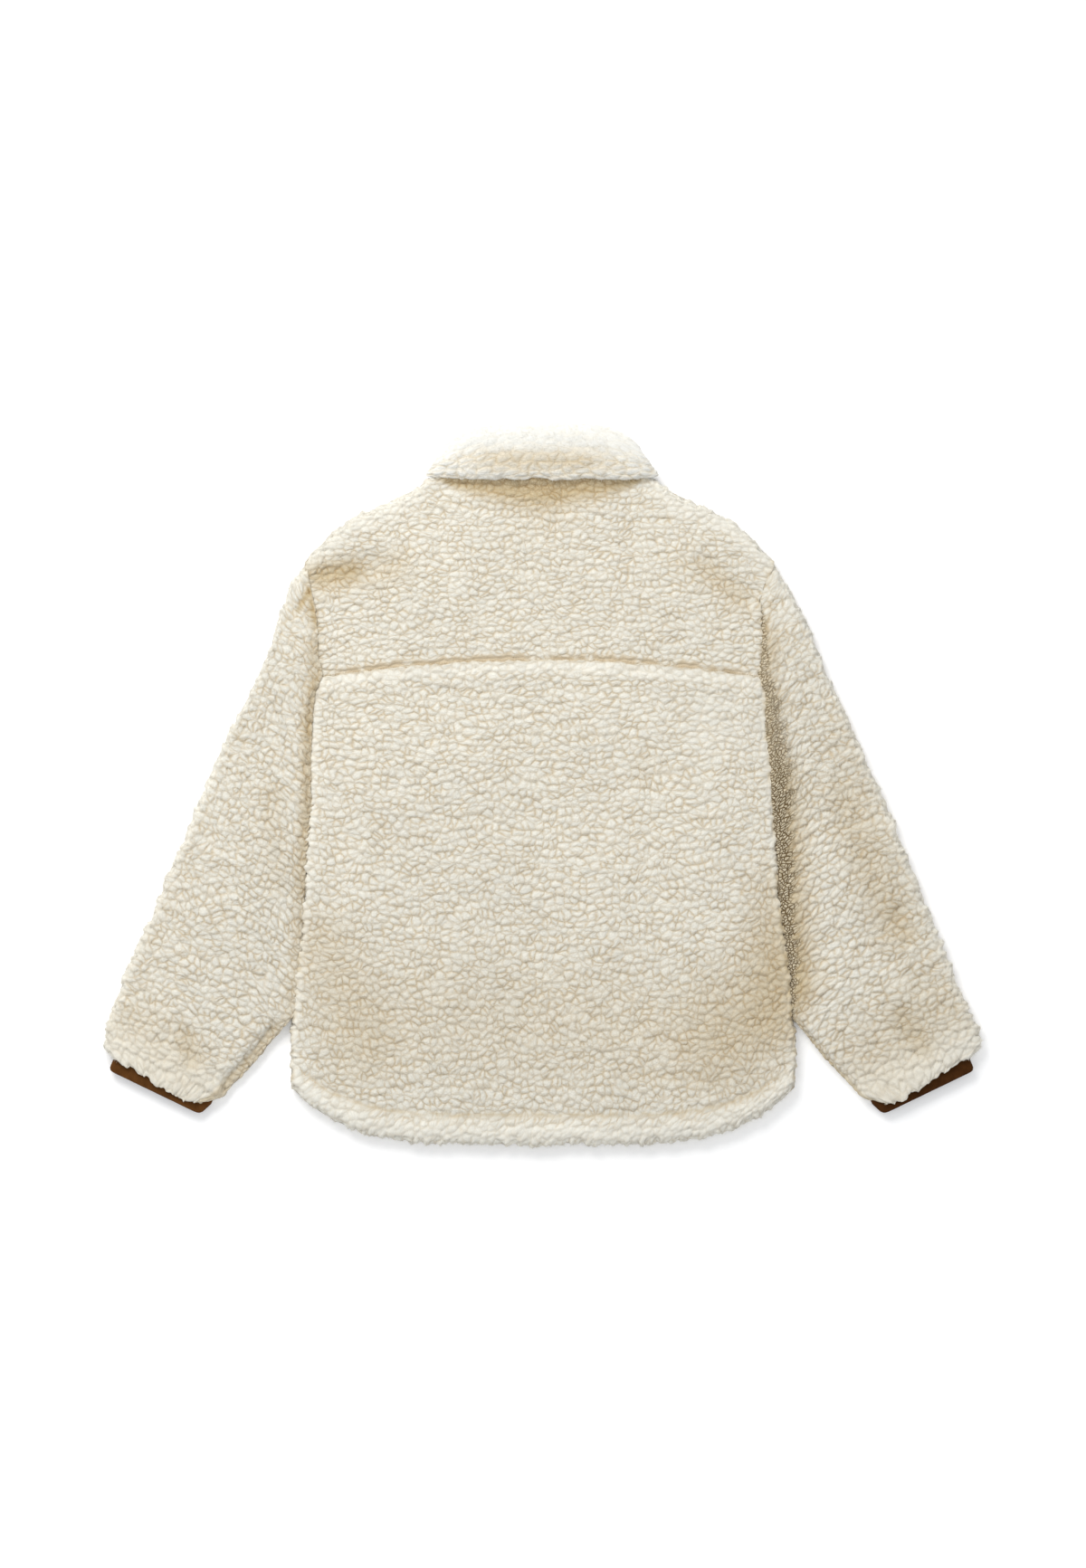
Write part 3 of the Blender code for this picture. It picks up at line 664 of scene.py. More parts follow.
def closed_tube_faces(rows, count):
    """A tube's faces with a flat face at each end."""
    last = (rows - 1) * count
    return tube_faces(0, rows, count) + [list(range(count)), list(range(last, last + count))]


def perimeter(rows, columns):
    """The numbers of a grid's outermost points, once round against the clock."""
    index = np.arange(rows * columns).reshape(rows, columns)
    return np.concatenate([index[0, :-1], index[:-1, -1], index[-1, :0:-1], index[:0:-1, 0]])


def make_shell(name, points, faces, attributes):
    """A closed piece from points in millimetres, with a number or a vector per point."""
    mesh = bpy.data.meshes.new(name)
    mesh.from_pydata((np.asarray(points) * MM).tolist(), [], faces)
    for label, values in attributes.items():
        values = np.asarray(values, dtype=np.float32)
        kind, field = ("FLOAT_VECTOR", "vector") if values.ndim == 2 else ("FLOAT", "value")
        layer = mesh.attributes.new(label, kind, "POINT")
        layer.data.foreach_set(field, values.ravel())
    shape = bmesh.new()
    shape.from_mesh(mesh)
    bmesh.ops.recalc_face_normals(shape, faces=shape.faces)
    shape.to_mesh(mesh)
    shape.free()
    mesh.shade_smooth()
    return add_object(name, mesh)


def panel_shell(name, x, y, z, floor, cloth, **fields):
    """A panel: the grid, an upright edge down or up to the inner face, and that face.
    The fields are loft and, where they aren't 0, bare, shade, soft and fuzz, for every point."""
    rows, columns = x.shape
    top = np.stack([x, y, z], axis=-1).reshape(-1, 3)
    loop = perimeter(rows, columns)
    edge = top[loop].copy()
    edge[:, 2] = floor
    count = len(loop)
    ring = rows * columns + np.arange(count)
    after = np.roll(np.arange(count), -1)
    faces = grid_faces(0, rows, columns)
    faces += np.stack([ring, ring[after], loop[after], loop], axis=-1).tolist()
    faces.append(ring[::-1].tolist())
    attributes = {"cloth": cloth.reshape(-1, 3)}
    attributes.update({label: values.ravel() for label, values in fields.items()})
    attributes = {label: np.concatenate([values, values[loop]])
                  for label, values in attributes.items()}
    attributes["loft"][rows * columns:] = 0.0
    return make_shell(name, np.concatenate([top, edge]), faces, attributes)


def clump_places(x, y, turn, width, height, start):
    """Counts clumps along and across a cloth whose grain is turned by an angle in degrees."""
    angle = math.radians(turn)
    along = x * math.cos(angle) + y * math.sin(angle)
    across = y * math.cos(angle) - x * math.sin(angle)
    return np.stack([along / width + start, across / height + start, 0.0 * x], axis=-1)


# %% [markdown]
# ## Creases
#
# The cloth is thick and lies flat, so it has few folds, all of them soft. Each is given as a
# short stretch of trough (a positive depth) or ridge (a negative one).

# %% Creases
Fold = namedtuple("Fold", "x1 y1 x2 y2 width depth")
YOKE_FOLDS = (
    Fold(-244, 226, -175, 244, 24, 3.6),
    Fold(178, 244, 226, 206, 22, 3.2),
    Fold(-120, 175, -40, 190, 26, 0.8),
    Fold(60, 160, 150, 178, 28, -0.7),
)
# the shade tables use the same stretches for painted shade, with the depth as its strength
BODY_SHADES = (
    Fold(262, -120, 262, -260, 60, 0.40),
    Fold(205, -275, 262, -205, 100, 0.38),
    Fold(-240, -180, -200, -290, 70, 0.36),
    Fold(112, 20, 112, 12, 26, 0.14),
    Fold(92, -318, 192, -326, 18, 0.12),
    Fold(-140, -252, 190, -278, 110, 0.20),
)
YOKE_SHADES = (
    Fold(-244, 230, -210, 236, 24, 0.60),
    Fold(-240, 226, -160, 240, 36, 0.36),
    Fold(-246, 190, -244, 120, 9, 0.20),
    Fold(182, 240, 216, 208, 22, 0.30),
    Fold(160, 244, 226, 200, 34, 0.18),
    Fold(0, 318, 0, 312, 60, 0.20),
)
SLEEVE_SHADES = {
    "left": (Fold(-257, 213, -268, 192, 6, 0.9), Fold(-256, 213, -249, 174, 6, 0.6),
             Fold(-258, 198, -255, 184, 10, 0.35), Fold(-254, 150, -254, 60, 18, 0.16),
             Fold(-257, 75, -262, -120, 13, 0.32),
             Fold(-250, 118, -248, 92, 12, 0.25), Fold(-392, -275, -384, -302, 20, 0.32),
             Fold(-300, -10, -290, -110, 26, 0.22), Fold(-420, -60, -450, -180, 60, 0.10),
             Fold(-450, -270, -390, -320, 70, 0.28)),
    "right": (Fold(246, 182, 244, 166, 9, 0.5), Fold(252, 200, 251, 194, 7, 0.3),
              Fold(330, -15, 385, -160, 40, 0.30), Fold(395, -255, 420, -290, 22, 0.28),
              Fold(392, -142, 404, -166, 18, 0.20), Fold(270, 10, 290, -220, 36, 0.45),
              Fold(430, -250, 370, -310, 90, 0.32), Fold(340, 60, 400, -160, 70, 0.16)),
}
BODY_FOLDS = (
    Fold(45, 88, 102, 22, 20, -1.1),
    Fold(84, 60, 128, -6, 24, 1.3),
    Fold(92, -314, 196, -330, 17, 1.3),
    Fold(-205, -200, -150, -262, 26, 0.9),
    Fold(-160, 30, -60, 18, 30, -0.8),
    Fold(150, -120, 225, -160, 28, 0.9),
    Fold(-90, -130, 10, -150, 34, 0.7),
)


def fold_depth(x, y, folds):
    """How deep the folds press at a place; each fades out to its sides and its ends."""
    depth = 0.0 * x
    for fold in folds:
        run_x = fold.x2 - fold.x1
        run_y = fold.y2 - fold.y1
        length = math.hypot(run_x, run_y)
        along = ((x - fold.x1) * run_x + (y - fold.y1) * run_y) / length
        across = ((x - fold.x1) * run_y - (y - fold.y1) * run_x) / length
        past = np.maximum(0.0, np.maximum(-along, along - length))
        depth = depth + fold.depth * bump(np.hypot(across, past), fold.width)
    return depth


# %% [markdown]
# ## The back
#
# The lower back ends in a turned and stitched hem, and its upper edge puffs up below the yoke.
# Along the yoke's lower edge the pile is pushed aside, and a narrow ribbon of the tan knit
# backing shows with its needle holes.

# %% Lower back
BODY_PILE = {"Depth": 0.0014, "Uneven": 0.0010, "Curl": 0.0017, "Swell": 0.0022}
SIDE_RIM = 3.2
ARMHOLE_RIM = 6.2
ARMHOLE_VALLEY = 16.0
HELD_FROM = 30.0                     # the side turns from free to held in this stretch, mm
UPPER_RIM = 7.0                      # the lower back's rim along the yoke seam
UPPER_PUFF = 14.0                    # where it puffs up below that seam, and how widely
PILE_OVERLAP = 0.9                   # how far loose pile leans over a seam
CROWN = 2.2                          # how much lower the back lies near its sides
CROWN_REACH = 90.0
MIDDLE_RISE = 1.5                    # how much higher it lies above the hem
RIM_TUFTS = 1.3                      # free rims are knobblier than the flat cloth
HEM_STITCH = 0.062                   # where the stitches lie, as a share of the way up
HEM_STITCH_DEPTH = 1.3
HEM_STITCH_HALF = 0.016              # half the groove's width, as such a share too
HEM_BAND = 0.030                     # the middle of the band below, and half its width
HEM_PUFF = 2.0
HEM_SLANT = 0.55                     # how the hem's tufts lean
HEM_TALLER = 0.10                    # how much taller they are, as a share
BODY_START = 400.0                   # where its clumps are counted from, for a pattern of its own
RAGGED_DRAWS = 400                   # a wander's draws, half of them on each side of 0
TUFT_IN = -1.2                       # how far in from a side edge tufts reach at most, mm
NARROWING = 0.0004                   # clumps grow rounder towards the hem, per millimetre
TALLER = 0.0004


def streak(distance, reach=26.0):
    """Draws clumps out towards a seam, as if the cloth there ran short."""
    return 0.5 * distance * fade(distance, 0.0, reach)


def rim_height(height):
    """The upright rim is higher along the armhole than down the side seam."""
    return mix(SIDE_RIM, ARMHOLE_RIM, np.clip((height - UNDERARM) / HELD_FROM, 0.0, 1.0))


def edge_round(side, height):
    """Along the armhole the cloth sinks into a soft valley, and down the side it turns under."""
    held = np.clip((height - UNDERARM) / HELD_FROM, 0.0, 1.0)
    return mix(quarter_round(side, RIM), valley(side, ARMHOLE_VALLEY), held)


def settle(distance, reach):
    """Grows with distance at first and stays the same from reach on."""
    share = np.clip(distance / reach, 0.0, 1.0)
    return reach * (share - share ** 2 / 2.0)


def seam_shade(distance, along, seed):
    """Painted shade in the creases where pile meets at a seam, deeper in some places than in others.
    """
    return (0.30 + 0.45 * ragged(along, seed, 7.0)) * fade(distance, 0.0, 6.0)


def rim_tufts(along, seed):
    """How far single tufts stand out from a free rim, in and out, mm."""
    return 1.9 * ragged(along, seed, 5.5) + 1.2 * ragged(along, seed + 1, 2.6)


def edge_distance(x, height):
    """Distance from the body's edge, along the row."""
    reach = np.where(x < 0, edge_x("left", height), edge_x("right", height))
    return reach - np.abs(x)


def ragged(x, seed, length=7.0):
    """An uneven wander between -1 and 1 along a seam, as tufts of pile make it. Each seed gives
    another wander, and length is how long one tuft is, in millimetres."""
    draws = np.random.default_rng(seed).uniform(-1.0, 1.0, RAGGED_DRAWS)
    return smooth_curve(x / length + RAGGED_DRAWS / 2, np.arange(RAGGED_DRAWS), draws)


def back_level(full, side, height):
    """The back's upper face: its full height in the middle, down to the rim at the sides."""
    rim = rim_height(height)
    return BACK_FLOOR + rim + (full - rim) * edge_round(side, height)


def run_across(x, side):
    """How far the cloth runs from the back's centre."""
    return x + np.sign(x) * (rim_extension(side, RIM) + streak(side))


def side_tufts(x, y, side, share):
    """Moves points out, or a little in, where tufts make a side edge uneven."""
    out = fade(side, 0.0, 10.0) * share
    return x + np.sign(x) * out * np.maximum(rim_tufts(y, 55), TUFT_IN)


def make_back_body():
    x, y, share, height = panel_grid(("left", "right"), hem_y,
                                     lambda s: yoke_y(s) + PILE_OVERLAP, rim_steps(RIM),
                                     rim_steps(UPPER_RIM))
    up = y - hem_y(share)
    down = yoke_y(share) + PILE_OVERLAP - y
    v = up / (up + down)
    side = edge_distance(x, height)
    sewn = bump(v - HEM_STITCH, HEM_STITCH_HALF) * smooth_step(side, 4.0, 28.0)
    full = BACK_WALL - HEM_STITCH_DEPTH * sewn
    full += HEM_PUFF * bump(v - HEM_BAND, HEM_BAND) + 0.8 * bump(down - UPPER_PUFF, UPPER_PUFF)
    full -= fold_depth(x, y, BODY_FOLDS)
    full = mix(SIDE_RIM, full, quarter_round(up, RIM)) * mix(0.86, 1.0, quarter_round(down, UPPER_RIM))
    full -= CROWN * fade(side, 0.0, CROWN_REACH) * smooth_step(up, 0.0, 60.0)
    full += MIDDLE_RISE * smooth_step(up, 0.0, CROWN_REACH)
    z = back_level(full, side, height)
    run_x = run_across(x, side)
    run_y = y - rim_extension(up, RIM) + rim_extension(down, UPPER_RIM)
    below = np.maximum(0.0, YOKE_SIDE - run_y)
    cloth = np.stack([run_x / (CLUMP_WIDTH * (1.0 - NARROWING * below)) + BODY_START,
                      BODY_START - np.log(1.0 + TALLER * below) / (CLUMP_HEIGHT * TALLER)
                      + np.maximum(0.0, run_y - YOKE_SIDE) / CLUMP_HEIGHT, 0.0 * x], axis=-1)
    # the hem's own tufts lean
    in_band = np.maximum(0.0, (HEM_STITCH - v) * (up + down))
    cloth[..., 0] += HEM_SLANT * in_band / CLUMP_WIDTH
    cloth[..., 1] += HEM_TALLER * in_band / CLUMP_HEIGHT
    # its stitches draw the pile down, and tan backing shows between tufts
    from_stitch = (v - HEM_STITCH) * (up + down) - 1.8 * ragged(x, 3)
    from_side = smooth_step(side, 8.0, 28.0)
    groove = bump(from_stitch, 6.5) * from_side
    crease = bump(from_stitch - 0.5, 2.6) * from_side
    bare = 0.25 * bump(from_stitch, 5.5) * smooth_step(ragged(x, 4, 9.0), -0.8, 0.6) * from_side
    below_arm = np.maximum(0.0, UNDERARM - height)
    by_seam = smooth_step(down, 0.0, 5.0) * smooth_step(side + below_arm, 0.0, 5.0)
    at_rim = fade(np.minimum(up, side + np.maximum(0.0, height - UNDERARM)), 2.0, 12.0)
    loft = (1.0 - 0.65 * groove) * mix(0.25, 1.0, by_seam) * mix(1.0, RIM_TUFTS, at_rim)
    # soft pile is painted paler too, partly as painted light on its rims and puffs; the round patch at
    # the upper right of the back is painted light alone
    soft = np.maximum(0.75 * bump(up - 12.0, 22.0), 0.55 * bump(down - 7.0, 13.0))
    soft = np.maximum(soft, 0.35 * bump(np.hypot(x - 190.0, y - 70.0), 70.0))
    soft = np.maximum(soft, 0.45 * groove)
    soft = np.maximum(soft, 0.7 * fade(side, 3.0, 12.0))
    # painted shade along the side seams, below the yoke's edge, in the hem's groove and crease and in
    # broad stretches
    shade = seam_shade(side, y, 31) + 0.4 * fade(down, 0.3, 2.5)
    shade = shade + (0.14 + 0.12 * ragged(x, 8)) * groove + (0.38 + 0.25 * ragged(x, 9, 5.0)) * crease
    shade = np.minimum(shade + fold_depth(x, y, BODY_SHADES), 1.0)
    fuzz = fade(up, 1.0, 7.0)
    # single tufts stand out past every edge
    y = y - 1.15 * rim_tufts(x, 51) * fade(up, 0.0, 12.0)
    y = y + (1.7 + 1.2 * ragged(x, 81, 4.5)) * fade(down, 0.0, 7.0)
    x = side_tufts(x, y, side, smooth_step(up, 0.0, 12.0))
    return panel_shell("back_body_fleece", x, y, z, BACK_FLOOR, cloth,
                       loft=loft, bare=bare, soft=soft, shade=shade, fuzz=fuzz)


back_body = grow(make_back_body(), pile_group, Material=sherpa, **BODY_PILE)
print("lower back:", len(back_body.data.polygons), "faces")

# %% Yoke
YOKE_CLUMPS = 0.9                    # the yoke's clumps are a little smaller
YOKE_LEDGE = 10.0
YOKE_LEDGE_DEPTH = 2.8
NECK_RIM = 9.0
NECK_FLAT = 14.0
UNDER_FALL = 333.0                   # where the shade below the collar's fall is deepest
FALL_HALF = 122.0                    # half the width of the fall and its shade
FALL_HOLLOW = 46.0                   # how far down that shade reaches in the middle
FALL_MEETING = 4.4                   # how far the yoke's pile rises to meet the fall
SHOULDER_PILE = 12.0                 # how far the loose pile stands out over the shoulder
CORNER_PILE = 9.0                    # how far it fills the corner below the collar
DEEPEST_SHADE = 1.3
YOKE_START = 700.0                   # where its clumps are counted from


def fall_edge_y(x):
    """Where the collar's fall ends."""
    return 336.0 + 4.5 * np.clip(np.abs(x) / 119.0, 0.0, 1.0) ** 8


def below_fall(x, reach):
    """1 below the collar's fall and 0 to its sides, with a soft edge as wide as reach."""
    return smooth_step(FALL_HALF - np.abs(x), 0.0, reach)


def visible_top_y(share):
    """Pile stands out over the shoulder, and fills the corner below the collar."""
    corner = CORNER_PILE * bump(share - 0.44, 0.14)
    return back_top_y(share) + corner + SHOULDER_PILE * bump(share - 0.88, 0.30)


def make_back_yoke():
    x, y, share, height = panel_grid(("left", "right"), lambda s: yoke_y(s) + SEAM_GAP / 2,
                                     visible_top_y, rim_steps(RIM, 1.2), rim_steps(RIM))
    up = y - yoke_y(share)
    down = visible_top_y(share) - y
    full = BACK_WALL - fold_depth(x, y, YOKE_FOLDS)
    # the pile rises to meet the edge of the collar's fall
    fall_edge = fall_edge_y(x)
    meeting = smooth_step(FALL_HALF + 12.0 - np.abs(x), 0.0, 16.0)
    full += FALL_MEETING * bump(y - fall_edge - 1.5, 9.0) * meeting
    # along the seam a ledge of backing lies bare, but for single tufts
    reach = YOKE_LEDGE + 2.2 * ragged(x, 5, 6.0)
    side = edge_distance(x, height)
    tufts = smooth_step(ragged(x, 6, 9.0), 0.1, 0.7)
    tufts = 1.0 - (1.0 - 0.9 * tufts) * smooth_step(side, 6.0, 34.0)
    ledge = (1.0 - quarter_round(up - reach * 0.6, 5.0)) * (1.0 - 0.8 * tufts)
    full -= YOKE_LEDGE_DEPTH * ledge
    full *= mix(0.72, 1.0, quarter_round(up, 3.0))
    full -= CROWN * fade(side, 0.0, CROWN_REACH)
    by_neck = np.clip((0.52 - share) / 0.11, 0.0, 1.0)
    full -= (BACK_WALL - NECK_RIM) * by_neck * bump(np.maximum(0.0, down - NECK_FLAT), NECK_FLAT)
    shoulder = mix(SIDE_RIM, full, quarter_round(down, RIM))
    full = mix(shoulder, full, by_neck)
    z = back_level(full, side, height)
    run_x = run_across(x, side)
    run_y = y + rim_extension(down, RIM)
    cloth = clump_places(run_x, run_y, 0.0, YOKE_CLUMPS * CLUMP_WIDTH, YOKE_CLUMPS * CLUMP_HEIGHT,
                         YOKE_START)
    bare = fade(up, reach - 3.0, reach + 1.5) * (1.0 - 0.85 * tufts)
    loft = (1.0 - 0.85 * bare) * mix(0.6, 1.0, smooth_step(side, 0.0, 5.0))
    # the fall's shade: a crescent, and a narrow line along its edge
    hollow = FALL_HOLLOW * np.maximum(0.03, 1.0 - (x / 112.0) ** 2)
    crescent = smooth_step(y, UNDER_FALL - hollow, UNDER_FALL)
    shade = 1.15 * crescent * below_fall(x, 24.0)
    shade += 0.25 * smooth_step(y, fall_edge - 7.0, fall_edge - 1.0) * below_fall(x, 10.0)
    shade = np.maximum(shade, seam_shade(side, y, 31))
    loft = loft * mix(1.0, RIM_TUFTS, (1.0 - by_neck) * fade(down, 2.0, 12.0))
    shade = np.minimum(shade + fold_depth(x, y, YOKE_SHADES), DEEPEST_SHADE)
    fuzz = (1.0 - by_neck) * fade(down, 3.0, 14.0)
    # the shoulder's soft rim is painted paler, as painted light
    soft = 0.8 * (1.0 - by_neck) * fade(down, 6.0, 26.0)
    x = side_tufts(x, y, side, smooth_step(down, 0.0, 40.0))
    y = y + rim_tufts(x, 61) * (1.0 - by_neck) * fade(down, 0.0, 12.0)
    return panel_shell("back_yoke_fleece", x, y, z, BACK_FLOOR, cloth,
                       loft=loft, bare=bare, soft=soft, shade=shade, fuzz=fuzz)


back_yoke = grow(make_back_yoke(), pile_group, Material=sherpa, **BODY_PILE)
print("yoke:", len(back_yoke.data.polygons), "faces")

# %% [markdown]
# ## The sleeves
#
# Each sleeve is one piece of fleece, sewn into a tube and pressed flat. Its sections run from
# the folded outer edge to the inner edge, from the armhole seam to the cuff. Above the free end
# the inner edge dives under the jacket's side. Near the cuff the lower layer peeks out past the
# upper one as a band with painted shade. At the cuff the pile hangs raggedly over the binding.

# %% Sleeve sizes
Sleeve = namedtuple("Sleeve", "outer_height outer_left outer_right inner_height inner")
SLEEVES = (
    Sleeve(237, 261, 256, -26, None),
    Sleeve(229, 266, 262, -30, None),
    Sleeve(207, 279, 277, -44, None),
    Sleeve(177, 291, 293, -62, None),
    Sleeve(137, 306, 309, -81, None),
    Sleeve(57, 345, 345, -127, None),
    Sleeve(-13, 376, 377, -165, None),
    Sleeve(-93, 410, 409, -213, None),
    Sleeve(-163, 439, 438, -255, None),
    Sleeve(-213, 461, 457, -287, 300),
    Sleeve(-250, 475, 473, -313, 322),
    Sleeve(-275, 482, 483, -334, 342),
    Sleeve(-291, 481, 482, -348, 354),
    Sleeve(-299, 476, 476, -354, 362),
)
LAST_HELD = 8                        # the last section that lies against the body
SLEEVE_CLEARANCE = 0.4
SLEEVE_BENT = 75.0                   # how far down the armhole's bend fades out
SLEEVE_TUCK = 26.0                   # the reach of its inner edge's rounding, held and free
SLEEVE_FREE_ROUND = 15.0
SLEEVE_MIDDLE = SLEEVE_WALL + SEAM_GAP / 2
SLEEVE_CROWN = 3.0                   # how much the sleeve's middle stands above its sides
SEAM_TUCK = 2.6                      # how far its armhole edge runs in under the body's pile
HELD_EDGE = {"left": 0.80, "right": 0.24}    # how high its edge lies against the body, as a share
TUCKED_IN = 4.0                      # how far the inner edge's pile is pushed under the body
SEAM_TUCK_FADE = 9.0                 # and the stretch in which each push fades out
TUCK_FADE = 20.0
OUT_OF_REACH = 20.0                  # a distance at which all effects of an edge have faded
DEEPEST_SLEEVE_SHADE = 1.9
TERRACE = {"left": 12.0, "right": 3.5}   # how far the lower layer peeks out near the cuff
TERRACE_ROUND = 12.0
INNER_SHADE = {"left": (16.0, 0.40), "right": (32.0, 0.70)}
Tangle = namedtuple("Tangle", "height left right")
# the valley's tangled pile is painted dark as the body's shadow, much more on the right
VALLEY = (                           # how far the tangled pile reaches out from the body
    Tangle(-250, 0, 4),
    Tangle(-215, 2, 10),
    Tangle(-183, 3, 15),
    Tangle(-133, 4, 19),
    Tangle(-83, 4, 21),
    Tangle(-33, 4, 22),
    Tangle(17, 4, 24),
    Tangle(67, 4, 22),
    Tangle(107, 5, 15),
    Tangle(150, 4, 8),
    Tangle(180, 2, 4),
    Tangle(240, 0, 0),
)
VALLEY_SHADOW_SHARE = {"left": 0.10, "right": 1.0}
SEAM_LEVEL = {"left": 17.2, "right": 14.0}   # how high its armhole edge lies
SEAM_VALLEY = {"left": 36.0, "right": 22.0}  # how far from it the cloth reaches its full height
SEAM_SLANT = 0.55                    # clumps lean up and outwards from the body
SLANT_REACH = 50.0
SEAM_DRAW = 0.3                      # how much of the streak shows, as a share
SLEEVE_SEAM_SHADE = 0.34
CUFF_DIP = 4.0
CUFF_ROUND = 16.0                    # its inner corner, mm
CUFF_INNER_HANG = 5.5                # how much further it hangs at the inner end
CUFF_OVERHANG = 4.0                  # how far the pile hangs over the binding, more or less
SLEEVE_HOLLOW = (0.05, 0.0913, 0.89, 0.95)   # where it starts and ends, as shares of the width
UNDER_STEP = 4.2                     # the sleeve's lower face has fewer points
UPPER_WIDTH = 205.0                  # usual widths, which set how many points lie across
LOWER_WIDTH = 190.0
TUCK_POINTS = 18
GRAIN = 25.0                         # the sleeve's grain, turned from the jacket's
SLEEVE_CLUMPS = {"left": (8.2, 6.9), "right": (9.0, 6.4)}
SLEEVE_START = 340.0                 # where the clumps start to grow, along the grain
SLEEVE_ACROSS = 240.0                # the sleeve's middle, across the grain
CUFF_GROWTH = 0.0001                 # clumps grow towards the cuff, per millimetre
Knob = namedtuple("Knob", "height width out")
SHOULDER_KNOBS = {
    "left": (Knob(236, 17, 5.5), Knob(217, 19, 11.0), Knob(200, 6, -2.5), Knob(188, 24, 7.0)),
    "right": (Knob(236, 18, 7.0), Knob(216, 16, 4.0), Knob(172, 16, 2.0)),
}
SLEEVE_FOLDS = {
    "left": (Fold(-257, 213, -268, 192, 7, 1.4), Fold(-256, 213, -249, 174, 7, 1.2),
             Fold(-392, -275, -384, -302, 16, 3.0), Fold(-330, 60, -290, -10, 22, 1.5),
             Fold(-420, -150, -352, -190, 26, 1.2), Fold(-404, -244, -424, -268, 18, -1.2),
             Fold(-300, 140, -276, 60, 18, 0.9)),
    "right": (Fold(248, 210, 245, 170, 8, 2.0), Fold(330, -20, 385, -150, 24, 2.5),
              Fold(395, -255, 420, -290, 16, 3.0), Fold(300, 150, 322, 80, 22, 0.9),
              Fold(318, -212, 330, -232, 24, -1.4), Fold(392, -142, 404, -166, 14, 1.6)),
}


# %% Sleeve shell
def travelled(steps):
    """The way to each point of a line, from the steps between its points."""
    return np.concatenate([[0.0], np.cumsum(steps)])


def away_round(x, y):
    return travelled(np.hypot(np.diff(x), np.diff(y)))


def sleeve_sections(side):
    """Each section's distance from the armhole, and its outer and inner points."""
    outer = np.array([(getattr(row, "outer_" + side), row.outer_height) for row in SLEEVES])
    inner = np.array([(row.inner or edge_x(side, row.inner_height) + SLEEVE_CLEARANCE,
                       row.inner_height) for row in SLEEVES])
    middle = (outer + inner) / 2
    return away_round(*middle.T), outer, inner


def sleeve_places(side, at, distances_of):
    """Plan of the sleeve at rows and at distances from its outer edge."""
    knots, outer, inner = sleeve_sections(side)
    start = smooth_curve(at, knots, outer)
    end = smooth_curve(at, knots, inner)
    width = np.hypot(*(end - start).T)[:, None]
    tuck = np.interp(at, (knots[LAST_HELD], knots[LAST_HELD + 1]), (SLEEVE_TUCK, SLEEVE_FREE_ROUND))
    away = distances_of(width, tuck[:, None])
    x = start[:, :1] + (end - start)[:, :1] * away / width
    y = start[:, 1:] + (end - start)[:, 1:] * away / width
    # the first row is bent onto the armhole, and the next ones less and less
    armhole = np.hypot(*(inner[0] - outer[0]))
    share = distances_of(np.full((1, 1), armhole), np.full((1, 1), SLEEVE_TUCK)) / armhole
    first_x, first_y = (mix(outer[0][axis], inner[0][axis], share) for axis in (0, 1))
    bent = edge_x(side, first_y) + SEAM_GAP - first_x
    x = x + bent * fade(at, 0.0, SLEEVE_BENT)[:, None]
    along = (end - start) / width
    return x, y, away, width, tuck[:, None], along


def upper_distances(width, tuck):
    """Where the upper layer's points lie across the sleeve, from its outer edge."""
    inner_rim = tuck * (1.0 - np.cos(np.linspace(0.0, math.pi / 2, TUCK_POINTS)))
    middle = even_shares(UPPER_WIDTH)
    outer_rim = rim_steps(RIM)[:-1] + 0.0 * width
    return np.concatenate([outer_rim, mix(RIM, width - tuck, middle), width - inner_rim[:, ::-1]], 1)


def lower_distances(width, tuck):
    """The same for the lower layer, whose inner edge isn't tucked in."""
    rim = rim_steps(RIM - 1.0, 2.5)
    middle = mix(RIM - 1.0, width - RIM + 1.0, even_shares(LOWER_WIDTH, UNDER_STEP))
    return np.concatenate([rim[:-1] + 0.0 * width, middle, width - rim[::-1]], axis=1)


